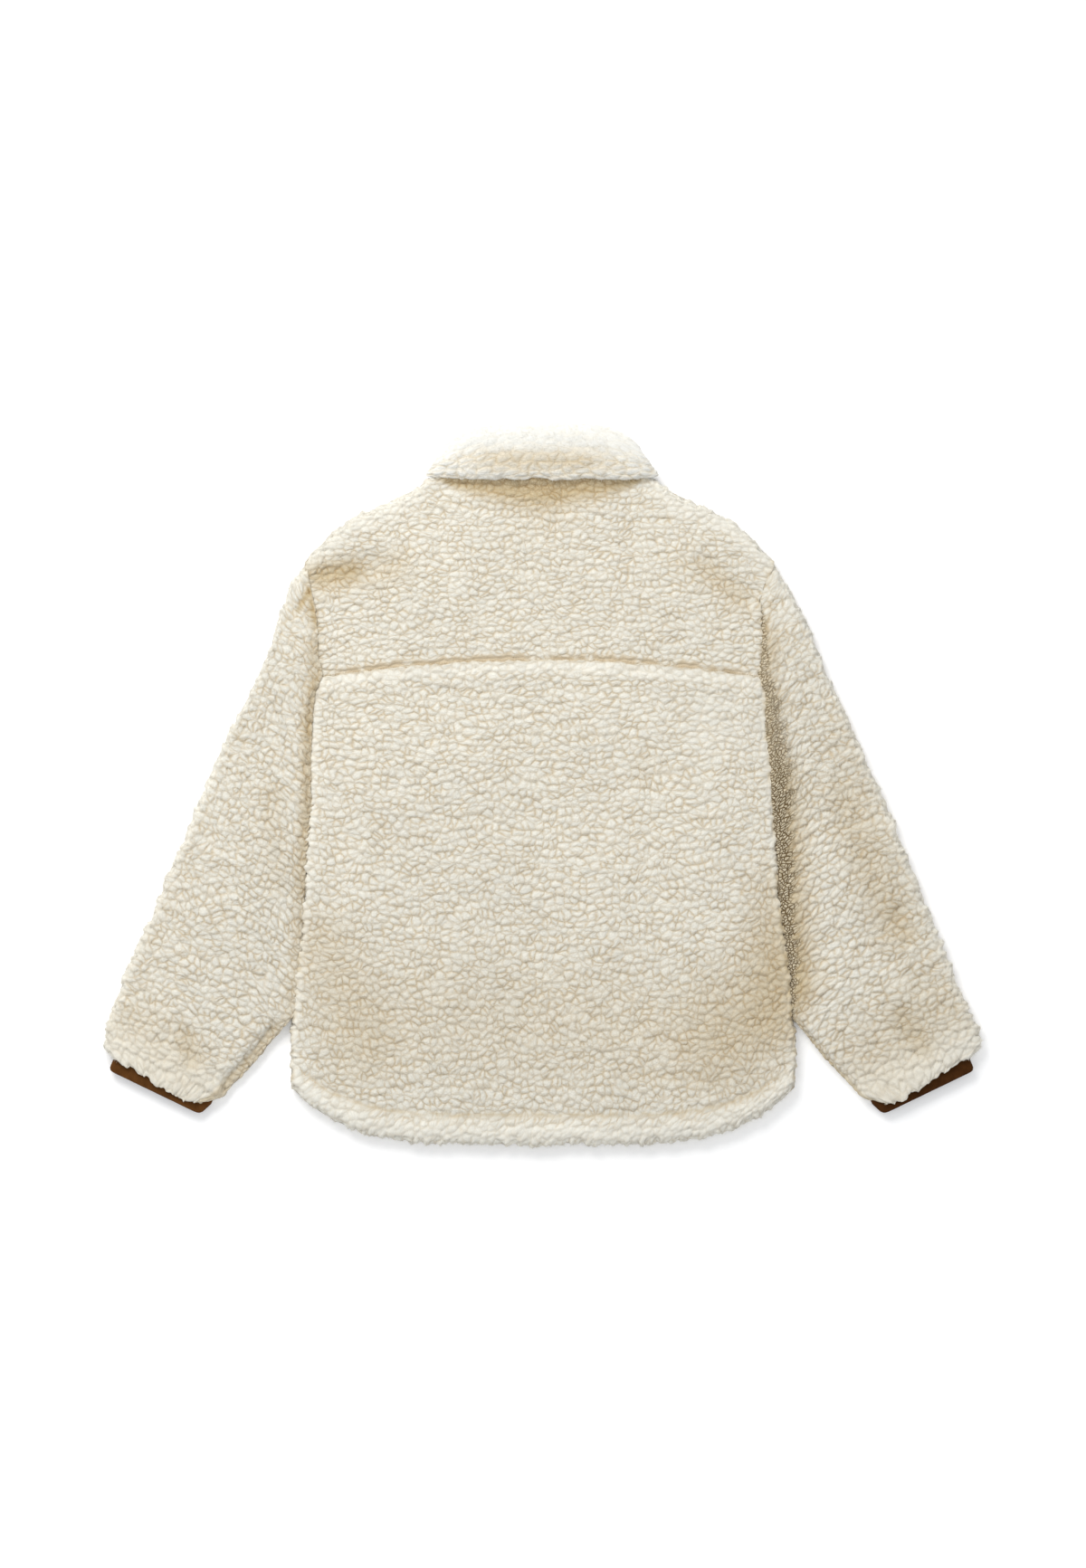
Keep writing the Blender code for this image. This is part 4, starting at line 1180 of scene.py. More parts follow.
def make_sleeve(side):
    knots = sleeve_sections(side)[0]
    shares, offsets = row_plan(knots[-1], rim_steps(RIM), rim_steps(RIM))
    fine = (mix(RIM, knots[-1] - RIM, shares) + offsets)[:, 0]
    to_end = fine[-1] - fine
    sign = SIDES[side]
    x, y, away, width, tuck, run = sleeve_places(side, fine, upper_distances)
    # the upper face: a soft mound, lower at the armhole, beside the body and at the cuff
    free = np.clip((fine - knots[LAST_HELD]) / HELD_FROM, 0.0, 1.0)[:, None]
    from_seam = np.hypot(x - x[0], y - y[0])
    to_cuff = np.hypot(x - x[-1], y - y[-1])
    top = 2 * SLEEVE_MIDDLE - fold_depth(sign * x, y, SLEEVE_FOLDS[side])
    top += SLEEVE_CROWN * (1.0 - (2.0 * away / width - 1.0) ** 2)
    top = mix(SEAM_LEVEL[side], top, valley(from_seam, SEAM_VALLEY[side]))
    top -= CUFF_DIP * (1.0 - quarter_round(to_cuff, RIM))
    left = width - away
    step_in = TERRACE[side] * smooth_step(to_cuff, 4.0, 40.0)
    terrace = 0.3 * quarter_round(left, 5.0) + 0.7 * quarter_round(left - step_in, TERRACE_ROUND)
    held_rise = mix(HELD_EDGE[side], 1.0, valley(left, tuck))
    rise = quarter_round(away, RIM) * mix(held_rise, terrace, free)
    z = mix(SLEEVE_MIDDLE, top, rise)
    # places in the cloth, which runs further than its plan where it turns down
    spread = rim_extension(left, tuck) - rim_extension(away, RIM)
    spread += free * rim_extension(left - step_in, TERRACE_ROUND)
    drawn = streak(from_seam) / np.maximum(from_seam, 0.1)
    run_x = x + run[:, :1] * spread - SEAM_DRAW * drawn * (x - x[0])
    run_y = y + run[:, 1:] * spread - SEAM_DRAW * drawn * (y - y[0])
    from_body = np.maximum(0.0, x - edge_x(side, y))
    run_y -= SEAM_SLANT * settle(from_body, SLANT_REACH)
    run_x -= SEAM_TUCK * fade(from_seam, 0.0, SEAM_TUCK_FADE)
    run_x -= TUCKED_IN * (1.0 - free) * fade(left, 0.0, TUCK_FADE)
    # painted shade beside the body, and the valley's tangled pile, painted dark as shadow
    reach, depth = INNER_SHADE[side]
    side_shade = fade(from_body, 2.0, reach) * depth
    slanted = y - SEAM_SLANT * from_body
    valley_width = from_table(VALLEY, side, y)
    valley_width = valley_width * (1.0 + 0.22 * ragged(slanted, 91, 6.0)
                                   + 0.20 * ragged(slanted, 93, 2.8))
    valley_width = np.maximum(valley_width, 0.1)
    shadowed_tangle = VALLEY_SHADOW_SHARE[side] * fade(from_body, 0.5 * valley_width, 1.15 * valley_width)
    shadowed_tangle *= smooth_step(valley_width, 1.0, 4.0) * (1.0 - 0.28 * smooth_step(y, -20.0, 60.0))
    side_shade *= fade(y, 150.0, 188.0)
    # painted shade on the band where the lower layer peeks out
    peeking = fade(left, TERRACE[side] - 3.0, TERRACE[side] + 3.0)
    shade = mix(side_shade, 0.6 * peeking, free)
    # the lower face, from the inner edge back to the outer one; the floor hides it, so its pile
    # is plain
    low_x, low_y, low_away = sleeve_places(side, fine, lower_distances)[:3]
    low_z = SLEEVE_MIDDLE * (1.0 - quarter_round(np.minimum(low_away, width - low_away), RIM - 1.0))
    low_x, low_y, low_z, low_away = (a[:, -2:0:-1] for a in (low_x, low_y, low_z, low_away))
    low_run = -low_away - RIM * (math.pi / 2 - 1.0)
    low_run_x = x[:, :1] + run[:, :1] * low_run
    low_run_y = y[:, :1] + run[:, 1:] * low_run
    zeros = 0.0 * low_x
    x, y, z, run_x, run_y, shade, loft, shadowed_tangle, at_rim, from_seam = (
        np.concatenate(pair, axis=1) for pair in (
            (x, low_x), (y, low_y), (z, low_z), (run_x, low_run_x), (run_y, low_run_y),
            (shade, zeros), (1.0 - 0.6 * shadowed_tangle, zeros + 0.4), (shadowed_tangle, zeros),
            (fade(away, 2.0, 14.0), zeros), (from_seam, zeros + OUT_OF_REACH)))
    # how tall, shaded and soft the pile is
    loft *= mix(0.6, 1.0, smooth_step(fine, 0.0, 5.0))[:, None]
    loft *= mix(1.0, RIM_TUFTS, at_rim)
    shade = np.maximum(shade, SLEEVE_SEAM_SHADE * fade(from_seam, 0.0, 8.0))
    x = x - SEAM_TUCK * fade(from_seam, 0.0, SEAM_TUCK_FADE)
    shade = np.minimum(shade + fold_depth(sign * x, y, SLEEVE_SHADES[side]), DEEPEST_SLEEVE_SHADE)
    from_body = np.concatenate([left, width - low_away], axis=1)
    held_under = np.concatenate([left, zeros + OUT_OF_REACH], axis=1)
    x = x - TUCKED_IN * (1.0 - free) * fade(held_under, 0.0, TUCK_FADE)
    # soft pile towards the cuff and on the rims is painted paler; on the rims this is painted light
    soft = 0.8 * smooth_step(to_end, 62.0, 12.0)[:, None] + 0.0 * x
    soft = np.maximum(soft, 0.7 * at_rim)
    fuzz = at_rim.copy()
    fuzz[:, away.shape[1]:] = 0.0
    # tufts and knobs stand out past the outer edge
    knobs = rim_tufts(fine, 71 + sign)[:, None] * smooth_step(fine, 2.0, 10.0)[:, None]
    for knob in SHOULDER_KNOBS[side]:
        knobs = knobs + knob.out * bump(y[:, :1] - knob.height, knob.width)
    outward = -knobs * fade(np.concatenate([away, low_away], axis=1), 0.0, 16.0)
    x = x + run[:, :1] * outward
    y = y + run[:, 1:] * outward
    # the cuff's inner corner is round
    corner = smooth_step(to_end, CUFF_ROUND, 0.0)[:, None] ** 2
    inward = 0.4 * CUFF_ROUND * corner * fade(from_body, 0.0, 24.0)
    x = x - run[:, :1] * inward
    y = y - run[:, 1:] * inward
    # the pile's ragged ends over the binding
    end = (x[-1] - x[-8], y[-1] - y[-8])
    length = np.hypot(*end)
    round_cuff = away_round(x[-1], y[-1])
    hang = CUFF_OVERHANG * (1.1 + 0.6 * ragged(round_cuff, 11 + sign, 9.0)
                            + 0.38 * ragged(round_cuff, 15 + sign, 3.4))
    from_inner = from_body[-1]
    inner_hang = fade(from_inner, 25.0, 95.0) * mix(0.45, 1.0, smooth_step(from_inner, 0.0, 12.0))
    hang = hang + CUFF_INNER_HANG * inner_hang
    reach = smooth_step(to_end, 14.0, 0.0)[:, None] * np.maximum(hang, 0.3)
    x = x + reach * end[0] / length
    y = y + reach * end[1] / length
    # inner tube, a slit between the two layers
    slit_x, slit_y, slit_z = inner_tube(side, knots)
    rows, count = x.shape
    slit_rows = slit_x.shape[0]
    points = np.concatenate([np.stack([sign * x, y, z], axis=-1).reshape(-1, 3),
                             np.stack([sign * slit_x, slit_y, slit_z], axis=-1).reshape(-1, 3)])
    faces = tube_faces(0, rows, count) + tube_faces(rows * count, slit_rows, count)
    for row, slit_row in ((0, 0), (rows - 1, slit_rows - 1)):
        faces += bridge_faces(row * count, (rows + slit_row) * count, count)
    places = clump_places(sign * run_x, run_y, sign * GRAIN, 1.0, 1.0, 0.0)
    across, along, nothing = np.moveaxis(places, -1, 0)
    down_sleeve = SLEEVE_START - along
    clump_width, clump_height = SLEEVE_CLUMPS[side]
    growth = 1.0 + CUFF_GROWTH * down_sleeve
    cloth = np.stack([(across - sign * SLEEVE_ACROSS) / (clump_width * growth),
                      -np.log(growth) / (clump_height * CUFF_GROWTH),
                      nothing], axis=-1) + 300.0 + 40.0 * sign
    # inside, the bare backing shows
    inside = np.zeros(slit_rows * count)
    attributes = {"cloth": np.concatenate([cloth.reshape(-1, 3), np.zeros((len(inside), 3))]),
                  "bare": np.concatenate([0.0 * loft.ravel(), inside + 1.0])}
    for label, values in (("loft", loft), ("shade", shade), ("soft", soft), ("shadowed_tangle", shadowed_tangle),
                          ("fuzz", fuzz)):
        attributes[label] = np.concatenate([values.ravel(), inside])
    return make_shell("sleeve_" + side + "_fleece", points, faces, attributes)


def inner_tube(side, knots):
    """Rings of the hollow between a sleeve's two layers."""
    first, start, end, last = SLEEVE_HOLLOW
    rings = []
    for distances, level in ((upper_distances, SEAM_GAP / 2), (lower_distances, -SEAM_GAP / 2)):
        def inside(width, tuck):
            share = distances(width, tuck) / width
            low = mix(first, start, share / start)
            high = mix(end, last, (share - end) / (1.0 - end))
            return width * np.where(share < start, low, np.where(share > end, high, share))
        x, y = sleeve_places(side, knots, inside)[:2]
        z = SLEEVE_MIDDLE + level + 0.0 * x
        rings.append([x, y, z])
    upper_ring, lower_ring = rings
    lower_ring = [a[:, -2:0:-1] for a in lower_ring]
    upper_ring[2][:, 0] = SLEEVE_MIDDLE
    upper_ring[2][:, -1] = SLEEVE_MIDDLE
    return [np.concatenate(pair, axis=1) for pair in zip(upper_ring, lower_ring)]


sleeves = {}
for side in SIDES:
    sleeves[side] = grow(make_sleeve(side), pile_group, Material=sherpa, Depth=0.0016,
                         Uneven=0.0014, Curl=0.0018, Swell=0.0022)
    print("sleeve:", side, len(sleeves[side].data.polygons), "faces")

# %% [markdown]
# ## The collar
#
# The collar is a stand and a fall cut as one folded strip round the neck. Its sections are given
# from the middle of the back to the front's edge, and a soft curve runs through them. Its pile
# is the fluffiest of the jacket, with larger and paler clumps.

# %% Collar sizes
MID_HEIGHT = FRONT_WALL + SEAM_GAP / 2
Station = namedtuple("Station", "seam seam_y fold_x fold_y edge_x edge_y turn")
COLLAR = (
    Station(0.00, None, 0, 390, 0, 336, 90),
    Station(0.08, None, 13, 390, 19, 336, 90),
    Station(0.16, None, 26, 390, 38, 336, 90),
    Station(0.24, None, 41, 390, 60, 335.5, 90),
    Station(0.30, None, 54, 389, 76, 335.5, 90),
    Station(0.36, None, 69, 387, 92, 336, 90),
    Station(0.396, 336.5, 83, 382, 105, 336.5, 86),
    Station(0.410, 336, 93, 375, 114, 338, 60),
    Station(0.412, 335.5, 99, 368, 119, 340, 25),
    Station(0.412, 335, 100, 363, 119, 341, -10),
    Station(0.410, 334, 96, 357, 114, 338, -45),
    Station(0.409, 326, 88, 355, 107, 332, -75),
    Station(0.36, None, 74, 348, 92, None, -90),
    Station(0.24, None, 49, 333, 62, None, -90),
    Station(0.15, None, 31, 324, 39, None, -90),
    Station(0.07, None, 14, 319, 18, None, -90),
    Station(0.003, None, 0.7, 317, 0.7, None, -90),
)
Layers = namedtuple("Layers", "stand_in stand_out fall_in fall_out")
COLLAR_TOP = Layers(0.15, 8.6, 9.5, 19.2)
COLLAR_SIDE = Layers(0.15, 5.5, 6.2, 9.4)
COLLAR_UNDER = Layers(0.15, 4.3, 4.8, MID_HEIGHT)
FALL_PUFF = 1.5
NOSE_TURNS = (-90, -45, 0, 45, 90)   # places round the fold, in degrees
FALL_PLACES = (0.6, 0.25, 0.06)      # places down the fall, as shares of its way up
FOLD_POINT = 2 + len(NOSE_TURNS) // 2    # a section's point on the fold's crest, and so on
NOSE_END = 1 + len(NOSE_TURNS)
EDGE_POINT = NOSE_END + len(FALL_PLACES) + 1
FALL_END = EDGE_POINT + 1
COLLAR_STEP = 1.8
FUZZ_FROM = 14.0                     # loose fibres grow above this level, mm
COLLAR_CLUMPS = (12.5, 8.4)          # their width and height, mm
COLLAR_START = (900.0, 50.0)         # where they are counted from


# %% Collar shell
def collar_section(side, station):
    """One folded section: up the stand, round the fold, down the fall and back inside."""
    sign = SIDES[side]
    top = back_top_y if station.turn > 0 else front_top_y
    seam_y = station.seam_y or float(top(np.array(station.seam))) + SEAM_GAP
    seam = (station.seam * float(edge_x(side, SHOULDER_END)), seam_y)
    fold = (station.fold_x, station.fold_y)
    edge = (station.edge_x, station.edge_y or seam_y + 1.5)
    turned = abs(station.turn) / 90.0
    end = COLLAR_TOP if station.turn >= 0 else COLLAR_UNDER
    layers = Layers(*(mix(a, b, turned) for a, b in zip(COLLAR_SIDE, end)))
    angle = math.radians(station.turn)
    nose = (layers.fall_out - layers.stand_in) / 2
    middle = (layers.stand_in + layers.fall_out) / 2
    puff = FALL_PUFF * max(0.0, math.sin(angle))
    thick = layers.fall_out - layers.fall_in

    def place(start, share, off, forward=0.0):
        """A point on the way from start to the fold, a distance off the middle sheet."""
        x = mix(start[0], fold[0], share) + off * math.cos(angle)
        y = mix(start[1], fold[1], share) + forward
        return sign * x, y, MID_HEIGHT + off * math.sin(angle)

    ring = [place(seam, 0.0, layers.stand_in), place(seam, 0.5, layers.stand_in)]
    for degrees in NOSE_TURNS:
        around = math.radians(degrees)
        off = middle + nose * math.sin(around)
        ring.append(place(edge, 1.0, off, 0.85 * nose * math.cos(around)))
    for share, lift in zip(FALL_PLACES, (puff, 0.8 * puff, -0.15 * thick)):
        ring.append(place(edge, share, layers.fall_out + lift))
    for start, share, off in (
            (edge, 0.0, layers.fall_in + 0.5 * thick), (edge, 0.02, layers.fall_in),
            (edge, 0.88, layers.fall_in), (seam, 0.88, layers.stand_out),
            (seam, 0.0, layers.stand_out)):
        ring.append(place(start, share, off))
    return ring


def make_collar():
    sections = [collar_section("left", station) for station in COLLAR[:0:-1]]
    sections += [collar_section("right", station) for station in COLLAR]
    table = np.array(sections)
    # rows lie along the strip, measured halfway down the fall
    halfway = (table[:, FOLD_POINT] + table[:, EDGE_POINT]) / 2
    knots = travelled(np.linalg.norm(np.diff(halfway, axis=0), axis=1))
    at = np.linspace(0.0, knots[-1], round(knots[-1] / COLLAR_STEP))
    rows = smooth_curve(at, knots, table)
    # points lie round it, close together where pile grows
    centre = table[len(table) // 2]
    across = travelled(np.linalg.norm(np.diff(centre, axis=0), axis=1))
    fine = np.linspace(across[1], across[FALL_END],
                       round((across[FALL_END] - across[1]) / COLLAR_STEP))
    piled = slice(1, 1 + len(fine))
    outer = smooth_curve(fine, across[:FALL_END + 1], np.moveaxis(rows[:, :FALL_END + 1], 1, 0))
    inner = rows[:, FALL_END + 1:]
    points = np.concatenate([rows[:, :1], np.moveaxis(outer, 0, 1), inner], axis=1)
    count = points.shape[1]
    fall = smooth_step(fine, across[NOSE_END], across[FALL_END])
    points[:, piled, 1] += 1.2 * ragged(at, 21, 9.0)[:, None] * fall
    run = np.concatenate([[fine[0] - 4.0], fine, [fine[-1] + 6.0] * inner.shape[1]])
    along, around = np.meshgrid(at, run, indexing="ij")
    cloth = np.stack([along / COLLAR_CLUMPS[0] + COLLAR_START[0],
                      around / COLLAR_CLUMPS[1] + COLLAR_START[1], 0.0 * around], axis=-1)
    loft = np.zeros(points.shape[:2])
    loft[:, piled] = 1.0
    loft *= smooth_step(np.minimum(at, at[-1] - at), -1.0, 6.0)[:, None]
    faces = closed_tube_faces(len(at), count)
    down_fall = np.zeros(points.shape[:2])
    down_fall[:, piled] = (fine - across[FOLD_POINT]) / (across[FALL_END] - across[FOLD_POINT])
    soft = smooth_step(down_fall, 0.66, 0.30)
    soft = np.maximum(soft, 0.6 * smooth_step(down_fall, 0.88, 1.0))
    # painted shade in a band low on the fall, towards its middle
    hollow = bump(down_fall - 0.64, 0.30) * smooth_step(np.abs(points[..., 0]), 118.0, 30.0)
    on_top = points[..., 2] > FUZZ_FROM
    fuzz = np.where((down_fall > -0.6) & (down_fall <= 1.0) & on_top, loft, 0.0)
    return make_shell("collar_fleece", points.reshape(-1, 3), faces, {
        "cloth": cloth.reshape(-1, 3), "loft": (loft * mix(1.0, 0.35, soft)).ravel(),
        "shade": 0.62 * hollow.ravel(), "soft": soft.ravel(), "fuzz": fuzz.ravel()})


collar = grow(make_collar(), pile_group, Material=collar_sherpa, Depth=0.0013, Uneven=0.0013,
              Curl=0.0020, Swell=0.0030)
print("collar:", len(collar.data.polygons), "faces")

# %% [markdown]
# ## The fronts
#
# The fronts lie on the floor, their pile pressed flat. Only their rims show past the back. The
# right one holds the press studs, each in a small pit of pushed-aside pile.

# %% Fronts
STUD_ACROSS = 8.6
STUD_TOP = 245.0
STUD_BOTTOM = -340.0
STUD_COUNT = 6
STUD_PIT = 2.9                       # the pit's depth, and how far its floor and slope reach
PIT_FLOOR = 6.9
PIT_SLOPE = 10.5
PIT_PILE = 12.0
FRONT_STEP = 3.4                     # the hidden fronts have fewer points
FRONT_LOFT = 0.8
FRONT_CLUMPS = (10.0, 7.4)
FRONT_START = {"left": 120.0, "right": 180.0}
STUD_HEIGHTS = np.linspace(STUD_TOP, STUD_BOTTOM, STUD_COUNT)


def make_front(side):
    def low(share):
        return hem_y(share) + FRONT_HEM_RISE * (1.0 - share)

    x, y, share, height = panel_grid((side,), low, front_top_y, rim_steps(RIM), rim_steps(RIM),
                                     FRONT_STEP)
    x = SIDES[side] * np.maximum(np.abs(x), SEAM_GAP / 2)
    to_edge = edge_distance(x, height)
    seam_round = np.where(height >= UNDERARM, 1.0, quarter_round(to_edge, RIM - 1.0))
    top_round = np.where(share <= NECK_SHARE, 1.0, quarter_round(front_top_y(share) - y, RIM - 1.0))
    hem_round = quarter_round(y - low(share), RIM - 1.0)
    z = (FRONT_WALL - SIDE_RIM) * (1.0 - seam_round * hem_round * top_round)
    loft = FRONT_LOFT + 0.0 * x
    if side == "right":
        nearest = np.min([np.hypot(x - STUD_ACROSS, y - level) for level in STUD_HEIGHTS], axis=0)
        z = np.maximum(z, STUD_PIT * fade(nearest, PIT_FLOOR, PIT_SLOPE))
        loft *= smooth_step(nearest, PIT_FLOOR, PIT_PILE)
    cloth = clump_places(x + np.sign(x) * rim_extension(to_edge, RIM), y, 0.0, *FRONT_CLUMPS,
                         FRONT_START[side])
    return panel_shell("front_" + side + "_fleece", x, y, z, FRONT_WALL, cloth, loft=loft)


fronts = {}
for side in SIDES:
    fronts[side] = grow(make_front(side), pile_group, Material=sherpa, Depth=0.0016, Uneven=0.0,
                        Curl=0.0006, Swell=0.0)
    print("front:", side, len(fronts[side].data.polygons), "faces")

# %% [markdown]
# ## Cuff bindings and underlap
#
# A strip of brown stretch cloth is folded round each cuff's raw edge, and a plain strip of the
# same cloth backs the front's closure. Two crossed sets of fine ribs, one finer than the other,
# make its weave, and a slow noise the faint unevenness of dyed cloth.


# %% Brown weave
def weave_material(name, dark, light):
    material, tree, shader = new_material(name)
    cloth = add_node(tree, "ShaderNodeAttribute", attribute_name="cloth").outputs["Vector"]
    ribs = add_node(tree, "ShaderNodeTexWave", {
        "Vector": cloth, "Scale": RIB_SCALE / THREAD, "Distortion": 0.6, "Detail": 1.0},
        bands_direction="X").outputs["Fac"]
    weft = add_node(tree, "ShaderNodeTexWave", {
        "Vector": cloth, "Scale": WEFT_SCALE / THREAD, "Distortion": 0.4},
        bands_direction="Y").outputs["Fac"]
    fuzz = noise(tree, cloth, 1.7, 3.0)
    broad = noise(tree, cloth, 0.11, 2.0)
    weave = times_plus(tree, weft, 0.45, times(tree, ribs, 0.55))
    tone = times_plus(tree, calculate(tree, "SUBTRACT", fuzz, 0.5), 0.5, weave)
    tone = times_plus(tree, calculate(tree, "SUBTRACT", broad, 0.5), 0.9, tone)
    tree.links.new(blend_colour(tree, tone, dark, light), shader.inputs["Base Color"])
    emboss(tree, shader, 0.5, 0.0004, weave)
    set_shader(shader, 0.6, specular=0.05)
    return material


THREAD = 0.9                         # the ribs' spacing, mm
RIB_SCALE = 0.314                    # a wave node's scale for ribs 1 mm apart
WEFT_SCALE = 0.55
brown_weave = weave_material("brown_stretch_weave", (0.022, 0.0070, 0.0010, 1.0),
                             (0.085, 0.030, 0.0060, 1.0))
# painted light: the left cuff's binding gets this lighter copy of the weave, for the light it catches
lit_weave = weave_material("brown_stretch_weave_lit", (0.050, 0.017, 0.0030, 1.0),
                            (0.150, 0.060, 0.0150, 1.0))

# %% Cuff bindings
BINDING_HIDDEN = 5.0                 # how far the binding runs back under the pile
BINDING_REACH = 15.2
BINDING_INSET = 1.4
BINDING_HALF = 3.8
BINDING_WALL = 2.3
BINDING_CORNER = 4.5
BINDING_INNER_INSET = 1.5
BINDING_SLANT = 0.35                 # its inner end is cut at a slant
BINDING_SHORT = 3.5                  # how much further it is set in at the sleeve's outer edge
BINDING_END = 3.0                    # how far in from each end it reaches its full height
BINDING_WIDENING = 0.05              # it is set in further, the further out it runs
BINDING_WAVE = 0.35                  # how far its faces go up and down


def make_cuff_binding(side):
    """A flattened tube with a folded outer edge: rings from inside the fleece, out and back."""
    row = SLEEVES[-1]
    start = np.array((getattr(row, "outer_" + side), row.outer_height))
    end = np.array((row.inner, row.inner_height))
    length = np.hypot(*(end - start))
    along = (end - start) / length
    out = np.array((-along[1], along[0]))
    bend = np.linspace(-90.0, 90.0, 7)
    reach = BINDING_REACH - BINDING_WALL / 2 + BINDING_WALL / 2 * np.cos(np.radians(bend))
    sink = BINDING_WALL / 2 * (1.0 + np.sin(np.radians(bend)))
    straight = np.linspace(-BINDING_HIDDEN, reach[0], 9)[:-1]
    reach = np.concatenate([straight, reach, straight[::-1]])
    sink = np.concatenate([0.0 * straight, sink, BINDING_WALL + 0.0 * straight])
    rings = []
    runs = []
    for ring_reach, ring_sink in zip(reach, sink):
        half = BINDING_HALF - ring_sink
        inset = BINDING_INSET + ring_sink + BINDING_WIDENING * max(0.0, ring_reach)
        outer_inset = inset + BINDING_SHORT
        corner = float(quarter_round(BINDING_REACH - ring_reach, BINDING_CORNER))
        corner_inset = BINDING_CORNER * (1.0 - corner)
        inset += BINDING_INNER_INSET + corner_inset + BINDING_SLANT * max(0.0, ring_reach)
        outer_inset += corner_inset
        width = length - inset - outer_inset
        ends = BINDING_END * (1.0 - np.cos(np.linspace(0.0, math.pi / 2, 6)))[:-1]
        middle = np.linspace(BINDING_END, width - BINDING_END, 62)
        place = np.concatenate([ends, middle, (width - ends)[::-1]])
        level = half * quarter_round(np.minimum(place, width - place), BINDING_END)
        wave = BINDING_WAVE * np.sin(place * 0.21 + ring_reach * 0.1)
        level = level + wave * quarter_round(half, BINDING_END)
        level[0] = level[-1] = 0.0
        over = np.concatenate([place, place[-2:0:-1]])
        lift = np.concatenate([level, -level[-2:0:-1]])
        spot = start + np.outer(outer_inset + over, along) + out * ring_reach
        rings.append(np.column_stack([SIDES[side] * spot[:, 0], spot[:, 1], SLEEVE_MIDDLE + lift]))
        runs.append(np.column_stack([over + np.where(lift < 0, 200.0, 0.0),
                                     np.full(len(over), ring_reach + 3.0 * ring_sink), 0.0 * over]))
    points = np.array(rings)
    count = points.shape[1]
    faces = tube_faces(0, len(rings), count)
    faces += bridge_faces(0, (len(rings) - 1) * count, count)
    piece = make_shell("cuff_binding_" + side + "_cloth", points.reshape(-1, 3), faces,
                       {"cloth": np.array(runs).reshape(-1, 3)})
    # painted light: the left binding takes the lighter copy of the weave
    piece.data.materials.append(lit_weave if side == "left" else brown_weave)
    return piece


bindings = {side: make_cuff_binding(side) for side in SIDES}
print("binding:", len(bindings["left"].data.polygons), "faces")

# %% Underlap
UNDERLAP_WIDTH = 28.0
UNDERLAP_THICKNESS = 2.0
UNDERLAP_TOP = 258.0
UNDERLAP_BOTTOM = -378.0
UNDERLAP_STEP = 6.0


def make_underlap():
    """A strip with rounded long edges, closed at its ends."""
    angle = np.linspace(-90.0, 90.0, 7)
    bulge = UNDERLAP_THICKNESS / 2 * np.cos(np.radians(angle))
    level = FRONT_WALL - UNDERLAP_THICKNESS / 2 + UNDERLAP_THICKNESS / 2 * np.sin(np.radians(angle))
    flat = UNDERLAP_WIDTH / 2 - UNDERLAP_THICKNESS / 2
    across = np.concatenate([flat + bulge, -flat - bulge[::-1]])
    height = np.concatenate([level, level[::-1]])
    rows = np.arange(UNDERLAP_BOTTOM, UNDERLAP_TOP + 1.0, UNDERLAP_STEP)
    points = [[(x, y, z) for x, z in zip(across, height)] for y in rows]
    runs = [[(x, y, 0.0) for x in across] for y in rows]
    faces = closed_tube_faces(len(rows), len(across))
    piece = make_shell("front_underlap_cloth", np.array(points).reshape(-1, 3), faces,
                       {"cloth": np.array(runs).reshape(-1, 3)})
    piece.data.materials.append(brown_weave)
    return piece


underlap = make_underlap()

# %% [markdown]
# ## Stitches
#
# A seam's stitches repeat along a path, which is work for Geometry Nodes: a line is cut into
# equal lengths, and a short pillow of thread lies along each.


# %% Stitching tree
def make_stitch_group():
    group, given = new_group("sew_stitches", Spacing=("Float", 0.003), Length=("Float", 0.0022),
                             Thickness=("Float", 0.0006), Material=("Material", None))
    curve = add_node(group, "GeometryNodeMeshToCurve", {0: given["Geometry"]})
    points = add_node(group, "GeometryNodeCurveToPoints",
                      {"Curve": curve.outputs[0], "Length": given["Spacing"]}, mode="LENGTH")
    turned = add_node(group, "FunctionNodeAlignRotationToVector",
                      {"Vector": points.outputs["Tangent"]}, axis="X")
    ball = add_node(group, "GeometryNodeMeshUVSphere", {"Segments": 8, "Rings": 5, "Radius": 0.5})
    size = add_node(group, "ShaderNodeCombineXYZ",
                    {"X": given["Length"], "Y": given["Thickness"], "Z": given["Thickness"]})
    placed = add_node(group, "GeometryNodeInstanceOnPoints", {
        "Points": points.outputs["Points"], "Instance": ball.outputs["Mesh"],
        "Rotation": turned.outputs[0], "Scale": size.outputs[0]})
    close_group(group, placed.outputs[0], given["Material"])
    return group


def sew(name, lines, material, **sizes):
    """Stitches along lines of points, which are given in millimetres."""
    points = np.concatenate(lines)
    starts = np.cumsum([0] + [len(line) for line in lines[:-1]])
    edges = [(start + i, start + i + 1) for start, line in zip(starts, lines)
             for i in range(len(line) - 1)]
    mesh = bpy.data.meshes.new(name)
    mesh.from_pydata((points * MM).tolist(), edges, [])
    return grow(add_object(name, mesh), stitch_group, Material=material, **sizes)


def thread_material(name, dark, light):
    material, tree, shader = new_material(name)
    twist = add_node(tree, "ShaderNodeTexWave",
                     {"Vector": object_place(tree), "Scale": 700.0, "Distortion": 1.5},
                     bands_direction="DIAGONAL").outputs["Fac"]
    tree.links.new(blend_colour(tree, twist, dark, light), shader.inputs["Base Color"])
    emboss(tree, shader, 0.4, 0.0002, twist)
    set_shader(shader, 0.7, sheen=0.1)
    return material


stitch_group = make_stitch_group()
tan_thread = thread_material("tan_thread", (0.46, 0.36, 0.225, 1.0), (0.62, 0.51, 0.355, 1.0))
amber_thread = thread_material("amber_thread", (0.56, 0.42, 0.26, 1.0), (0.70, 0.57, 0.40, 1.0))


